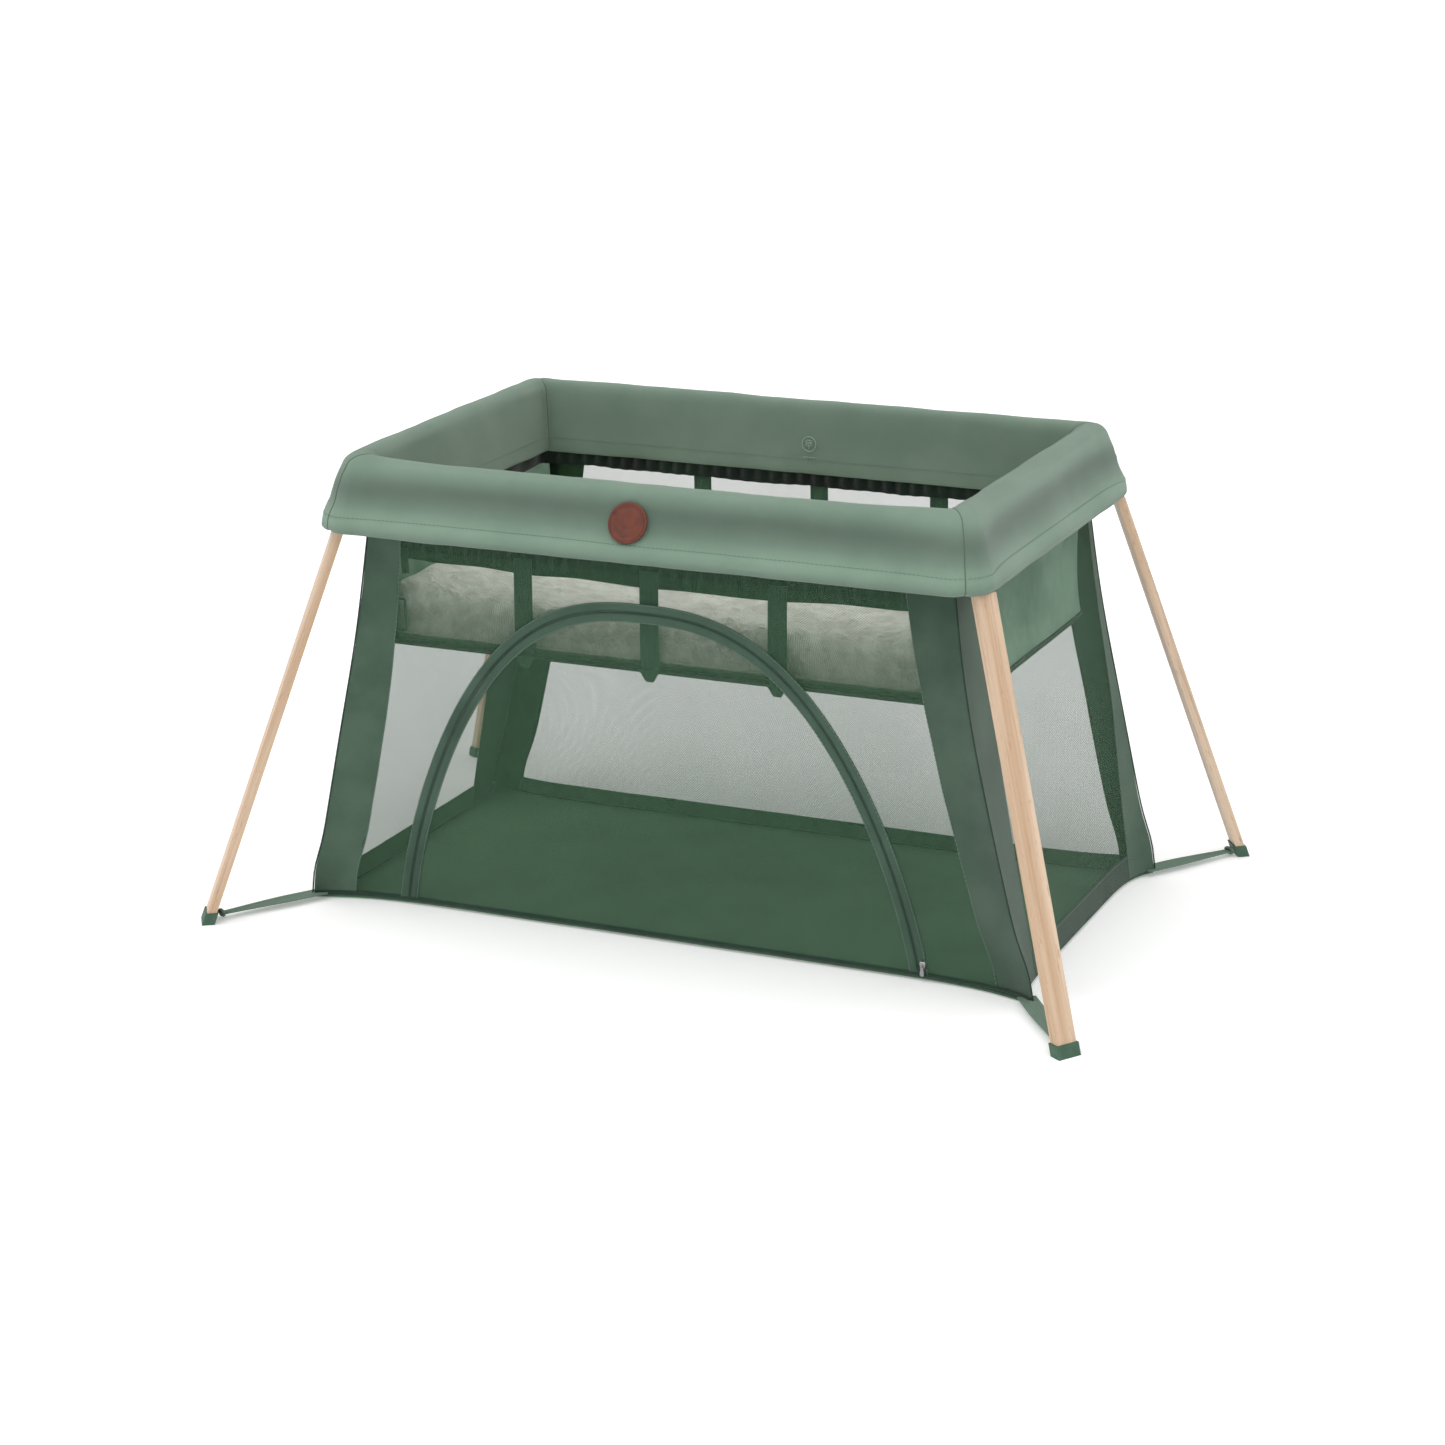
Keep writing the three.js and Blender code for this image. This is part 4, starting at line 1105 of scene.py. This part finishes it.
def make_bassinet_strap(name, place, edge, side, cloth):
    """Flat webbing sewn down the bassinet's side, ending in a loop below it."""
    y, floor, sy = BASSINET["y"], BASSINET["floor"], EDGES[edge]
    stations = []
    for z in spaced(floor + 0.002, NET_TOP[sy] + 0.015, 16):
        bow = 0.0012 + 0.0008 * math.sin(math.pi * (z - floor) / 0.12)
        stations.append((place, STRAP_WIDTH, sy * (y + bow), 0.0006, z))
    bassinet_part(flat_strip(f"bassinet_strap_{name}", stations, sy, 0.0013, cloth), side, "webbing",
                  "stretched", [f"bassinet_net_{edge}_{side}"])
    stations = [(place, STRAP_WIDTH * (1.12 - 0.72 * share), sy * (y + 0.0045 - 0.002 * share), 0.0,
                 floor + 0.006 - 0.016 * share) for share in spaced(0, 1, 8)]
    bassinet_part(flat_strip(f"bassinet_tab_{name}", stations, sy, 0.0030, cloth), side, "webbing")


def make_corner_fitting(side, sx, plastic, cloth):
    """Folded tab at the top of the bassinet's front corner, with a wire buckle below it."""
    front = -BASSINET["y"]
    left, right, low, high = 0.3725, 0.3855, 0.399, 0.442
    corners = [(left, low), (right, low), (right, high), (left, high)]
    path = []
    for (ax, az), (bx, bz) in zip(corners, corners[1:] + corners[:1]):
        path += [(sx * (ax + (bx - ax) * t), front - 0.0040, az + (bz - az) * t)
                 for t in spaced(0, 1, 7)[:-1]]
    bassinet_part(tube(f"corner_buckle_{side}", [*path, path[0]], 0.0017, plastic), side, "dark_plastic")
    stations = [(sx * 0.3710, sx * 0.010, front - 0.0030 - 0.0015 * math.sin(math.pi * share), 0.0,
                 0.512 - 0.034 * share) for share in spaced(0, 1, 10)]
    bassinet_part(flat_strip(f"corner_tab_{side}", stations, -1, 0.0028, cloth), side, "webbing")


def prism(name, outline, low, high, edge, material):
    """A plate with rounded edges: an outline in x and z, from one y to another."""
    outline = np.asarray(outline, float)
    middle = outline.mean(axis=0)
    inner = 1 - edge / np.abs(outline - middle).max()
    layers = [(low, inner), (low + edge, 1.0), (high - edge, 1.0), (high, inner)]
    vertices = [(x, y, z) for y, share in layers for x, z in middle + (outline - middle) * share]
    return mesh_object(name, vertices, ring_faces(len(layers), len(outline)), material)


def make_metal_plate(name, node, side, edge, body, finish):
    """A plate in the box of a CAD node; side is its right-hand outline as shares of the box."""
    low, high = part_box(node)
    middle, half, bottom, tall = (low[0] + high[0]) / 2, (high[0] - low[0]) / 2, low[2], high[2] - low[2]
    outline = [(middle + half * x, bottom + tall * z) for x, z in side]
    outline += [(middle - half * x, bottom + tall * z) for x, z in side[::-1]]
    plate = prism(name, outline, low[1], high[1], edge, finish)
    finish_piece(plate, body, "steel", ZIP_END_FOLD, replaces=(node,))


def make_zip_hardware(metal_finish):
    """Zip slider with its waisted body and crown, and the drop-shaped pull on it."""
    side = [(0.35, 0.0), (0.62, 0.06), (0.70, 0.30), (0.74, 0.50), (0.95, 0.72), (1.0, 0.90), (0.80, 1.0)]
    make_metal_plate("zip_slider_body", "zip_slider", side, 0.0006, "right_frame", metal_finish)
    low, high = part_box("zip_slider")
    crown = [((low[0] + high[0]) / 2, low[1] + 0.0004 - 0.0022 * math.sin(math.pi * t),
              low[2] + (high[2] - low[2]) * (0.25 + 0.5 * t)) for t in spaced(0, 1, 9)]
    finish_piece(tube("zip_slider_crown", crown, 0.0009, metal_finish), "right_frame", "steel", ZIP_END_FOLD)
    side = [(0.30, 0.0), (0.80, 0.06), (1.0, 0.20), (0.95, 0.45), (0.60, 0.75), (0.50, 0.95), (0.25, 1.0)]
    make_metal_plate("zip_pull_tab", "zip_pull", side, 0.0004, "zip_pull", metal_finish)


def make_print(ink):
    """Small generic leaf mark printed inside the rim's back."""
    x, y, z, radius = 0.011, 0.2408, 0.584, 0.0105
    ring = [(x + radius * math.cos(a), y, z + radius * math.sin(a)) for a in spaced(0, 2 * math.pi, 33)]
    stem = [(x, y, z - 0.007 + 0.013 * t) for t in spaced(0, 1, 7)]
    leaves = [[(x + way * 0.0048 * math.sin(math.pi * t), y, z - 0.003 + level + 0.005 * t)
               for t in spaced(0, 1, 9)] for way in (-1, 1) for level in (0.0, 0.004)]
    word = [[(x + start + 0.0045 * k, y, z - 0.019) for start in (-0.008, -0.005)] for k in range(4)]
    for number, path in enumerate([ring, stem, *leaves, *word], 1):
        rim_piece(tube(f"rim_print_{number}", path, 0.00045, ink, sides=6), "right")


def make_mattress(side, sx, cloth):
    """Quilted mattress half: crowned top, rounded sides and a piped edge."""
    x, y, r, low, high = (MATTRESS[key] for key in ("x", "y", "r", "low", "high"))
    body = f"bassinet_{side}"
    def outline(share, across):
        return sx * share * rounded_reach(x, y, r, across * y), across * y
    top = np.empty((74, 66, 3))
    bottom = np.empty_like(top)
    for i, across in enumerate(spaced(-1, 1, len(top))):
        for j, share in enumerate(spaced(0, 1, len(top[0]))):
            px, py = outline(share, across)
            edge = min(1.0, (1 - abs(across)) / 0.10, (1 - share) / 0.07)
            round_off = 1 - math.sqrt(max(0.0, 1 - (1 - edge) ** 2))
            quilt = abs(math.sin(math.pi * (px + py) / QUILT) * math.sin(math.pi * (px - py) / QUILT))
            lift = 0.0040 * quilt ** 0.5 * edge + 0.0012 * wrinkle((px, py, 0), 12, 5.5)
            lift += 0.0040 * wrinkle((px, py, 0), 42, 8.8) + 0.016 * max(0.0, share - 0.72) / 0.28
            top[i, j] = px, py, high - 0.022 * round_off + lift
            bottom[i, j] = px, py, low + 0.012 * round_off
    pad = closed_skin(f"mattress_pad_{side}", top, bottom, outward(top, (0, 0, 1))[1], cloth)
    finish_piece(pad, body, "mattress_cloth", BASSINET_FOLD, replaces=(f"mattress_{side}",))
    border = [outline(share, -1) for share in spaced(0, 0.94, 24)]
    border += [outline(1.0, across) for across in spaced(-0.97, 0.97, 40)]
    border += [outline(share, 1) for share in spaced(0.94, 0, 24)]
    line = [(px * 1.001, py * 1.002, low + 0.0125) for px, py in border]
    finish_piece(tube(f"mattress_piping_{side}", line, 0.0019, cloth), body, "mattress_cloth", BASSINET_FOLD)


# ---- foot straps -----------------------------------------------------------------------
def make_foot_strap(edge, sy, side, sx, cloth):
    """Webbing from the pen's lower corner to the foot, with the loop that holds the cap."""
    corner_x, corner_y = wall_corner(0.008)
    start = Vector((sx * (corner_x - 0.012), sy * (corner_y - 0.010), 0.0095))
    foot = Vector((sx * FOOT[0], sy * FOOT[1], 0.0080))
    run = (foot - start).normalized()
    across = run.cross(Vector((0, 0, 1))).normalized()
    length = (foot - start).length - CAP_HALF - 0.001
    rows = []
    for share in spaced(0, 1, 22):
        width = 0.025 - 0.012 * min(1.0, max(0.0, (share - 0.35) / 0.55)) ** 1.2
        hang = math.sin(math.pi * share)
        row = []
        for offset in spaced(-0.5, 0.5, 7):
            place = start + run * (length * share) + across * (width * offset)
            row.append((*place.xy, place.z - 0.0016 * hang + 0.0022 * hang * (2 * offset) ** 2))
        rows.append(row)
    name, body = f"{edge}_{side}", f"{edge}_{side}_leg"
    strap = shell(f"foot_webbing_{name}", rows, cloth, 0.0014, towards=(0, 0, 1))
    cloth_piece(strap, body, "webbing", "stretched", [f"foot_{name}"], fold=tuple(run), anchor=tuple(foot),
                keep=0.2, replaces=(f"foot_strap_{name}",))
    behind = foot - run * (CAP_HALF + 0.004)
    knot = [behind + across * (0.008 * math.cos(a)) + Vector((0, 0, 0.0035 * math.sin(a)))
            for a in spaced(0, 2 * math.pi, 17)]
    finish_piece(tube(f"foot_knot_{name}", knot, 0.0022, cloth), body, "webbing")


# ---- CAD pieces that stay ---------------------------------------------------------------
def dress(node, material, bevel=0.0, segments=3):
    """Gives a CAD node its material and, where asked, softened edges."""
    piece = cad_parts[node]
    for slot in piece.material_slots:
        slot.link, slot.material = "DATA", material
    if bevel:
        modifier = piece.modifiers.new("soft_edges", "BEVEL")
        modifier.width, modifier.segments, modifier.limit_method = bevel, segments, "ANGLE"
        modifier.angle_limit = math.radians(35)


def dress_frame():
    tube_finish = metal("drawn_tube", srgb(176, 180, 182), 0.34, (0.03, 1.0, 1.0))
    end_finish = metal("drawn_tube_end", srgb(176, 180, 182), 0.34, (1.0, 0.03, 1.0))
    steel = metal("plated_steel", srgb(150, 152, 154), 0.3, (1.0, 1.0, 1.0))
    casting = moulded("casting_plastic", srgb(44, 58, 50), 0.55)
    cap = moulded("foot_plastic", srgb(70, 104, 84), 0.6)
    button = moulded("button_plastic", srgb(84, 116, 96), 0.5)
    for side, sx in SIDES.items():
        dress(f"end_rail_{side}", end_finish)
        for edge, sy in EDGES.items():
            name = f"{edge}_{side}"
            dress(f"{edge}_rail_{side}", tube_finish)
            dress(f"hinge_{name}", casting, 0.0006, 2)
            dress(f"elbow_{name}", casting, 0.0005, 2)
            dress(f"leg_knuckle_{name}", casting, 0.0008, 2)
            dress(f"pivot_pin_{name}", steel, 0.0004, 2)
            dress(f"foot_{name}", cap, 0.0022, 3)
            low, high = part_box(f"leg_{name}")
            down = Vector((sx * (FOOT[0] - LEG_TOP[0]), sy * (FOOT[1] - LEG_TOP[1]), low[2] - high[2]))
            dress(f"leg_{name}", wood(f"beech_{name}", down.normalized()), 0.0028, 4)
    for edge in EDGES:
        dress(f"hinge_pin_{edge}", steel, 0.0003, 2)
        dress(f"latch_button_{edge}", button, 0.0012, 3)


# ---- put together --------------------------------------------------------------------
def main():
    make_camera()
    make_stage()
    # rim and lining: one cloth with painted light and shade up its height; the lining's painted shade keeps
    # it darker
    rim_cloth, lining_cloth = (fabric(name, srgb(136, 160, 142), srgb(124, 149, 131), painted_light=painted_light)
                               for name, painted_light in (("rim_cloth", RIM_PAINTED_LIGHT), ("lining_cloth", LINING_PAINTED_SHADE)))
    sleeve = fabric("sleeve_cloth", srgb(92, 112, 98), srgb(80, 100, 86))
    wall_cloth = fabric("wall_cloth", srgb(91, 116, 98), srgb(71, 96, 79))
    dark_cloth = fabric("dark_cloth", srgb(46, 80, 58), srgb(32, 62, 44))
    # the band's own dark green made darker still: painted shade under the rim; the bassinet's bottom binding
    # takes it too
    shaded_band_cloth = fabric("shaded_band_cloth", srgb(14, 40, 25), srgb(2, 16, 8))
    floor_cloth = fabric("floor_cloth", srgb(83, 126, 93), srgb(70, 110, 80), thread=0.0016)
    panel_cloth = fabric("panel_cloth", srgb(180, 212, 190), srgb(128, 160, 138))
    mattress_cloth = quilting("mattress_cloth", srgb(242, 238, 231), srgb(214, 209, 199))
    tape_cloth = fabric("tape_cloth", srgb(78, 106, 88), srgb(58, 84, 68), thread=0.0009)
    piping_cloth = fabric("piping_cloth", srgb(44, 70, 56), srgb(34, 60, 46))
    thread = fabric("sewing_thread", srgb(122, 146, 130), srgb(108, 132, 116), thread=0.0006, relief=0.0001)
    strap_cloth = webbing("strap_webbing", srgb(52, 82, 64), srgb(36, 62, 46))
    foot_cloth = webbing("foot_webbing", srgb(112, 138, 120), srgb(84, 110, 92))
    # painted shade: the same net as near_net, darker, for the walls seen from inside the pen
    shaded_far_net = netting("shaded_far_net", srgb(30, 58, 38), 0.34, 0.59)
    near_net = netting("near_net", srgb(78, 112, 86), 0.29, 0.51)
    bassinet_net = netting("bassinet_net", srgb(106, 158, 108), 0.05, 0.16)
    hem_cloth = fabric("hem_cloth", srgb(88, 126, 96), srgb(76, 112, 84), thread=0.0016)
    # painted shade: a darker copy of wall_cloth for the front right corner panel
    shaded_post_cloth = fabric("shaded_post_cloth", srgb(81, 105, 88), srgb(61, 85, 69))
    hide = leather("badge_leather")
    badge_thread = fabric("badge_thread", srgb(92, 44, 32), srgb(80, 36, 26), thread=0.0006, relief=0.0001)
    teeth = moulded("zip_teeth", srgb(56, 84, 68), 0.4)
    make_rim(rim_cloth, lining_cloth, thread, sleeve)
    make_badge(hide, badge_thread)
    for side, sx in SIDES.items():
        for edge, sy in EDGES.items():
            # the front right corner panel takes the darker copy: painted shade
            outer_cloth = shaded_post_cloth if (edge, side) == ("front", "right") else wall_cloth
            make_post(edge, sy, side, sx, outer_cloth, dark_cloth, piping_cloth, thread)
            make_foot_strap(edge, sy, side, sx, foot_cloth)
        make_zip(side, sx, tape_cloth, teeth, thread)
        make_front_window(side, sx, near_net)
        make_door(side, sx, near_net, tape_cloth, piping_cloth)
        make_front_hem(side, sx, piping_cloth)
        make_back_wall(side, sx, shaded_far_net, hem_cloth, thread)
        # the left end, seen from inside, takes the darker net: painted shade
        end_net, end_hem = (shaded_far_net, hem_cloth) if sx < 0 else (near_net, dark_cloth)
        make_end_wall(side, sx, end_net, end_hem, thread)
        make_floor(side, sx, floor_cloth, piping_cloth)
        make_bassinet(side, sx, bassinet_net, panel_cloth, shaded_band_cloth, strap_cloth, dark_cloth)
        make_corner_fitting(side, sx, teeth, tape_cloth)
        make_mattress(side, sx, mattress_cloth)
    make_zip_hardware(metal("zip_nickel", srgb(160, 160, 160), 0.28, (1.0, 1.0, 0.2)))
    make_print(fabric("print_ink", srgb(170, 190, 176), srgb(158, 178, 164), thread=0.0006, relief=0.0001))
    dress_frame()


main()
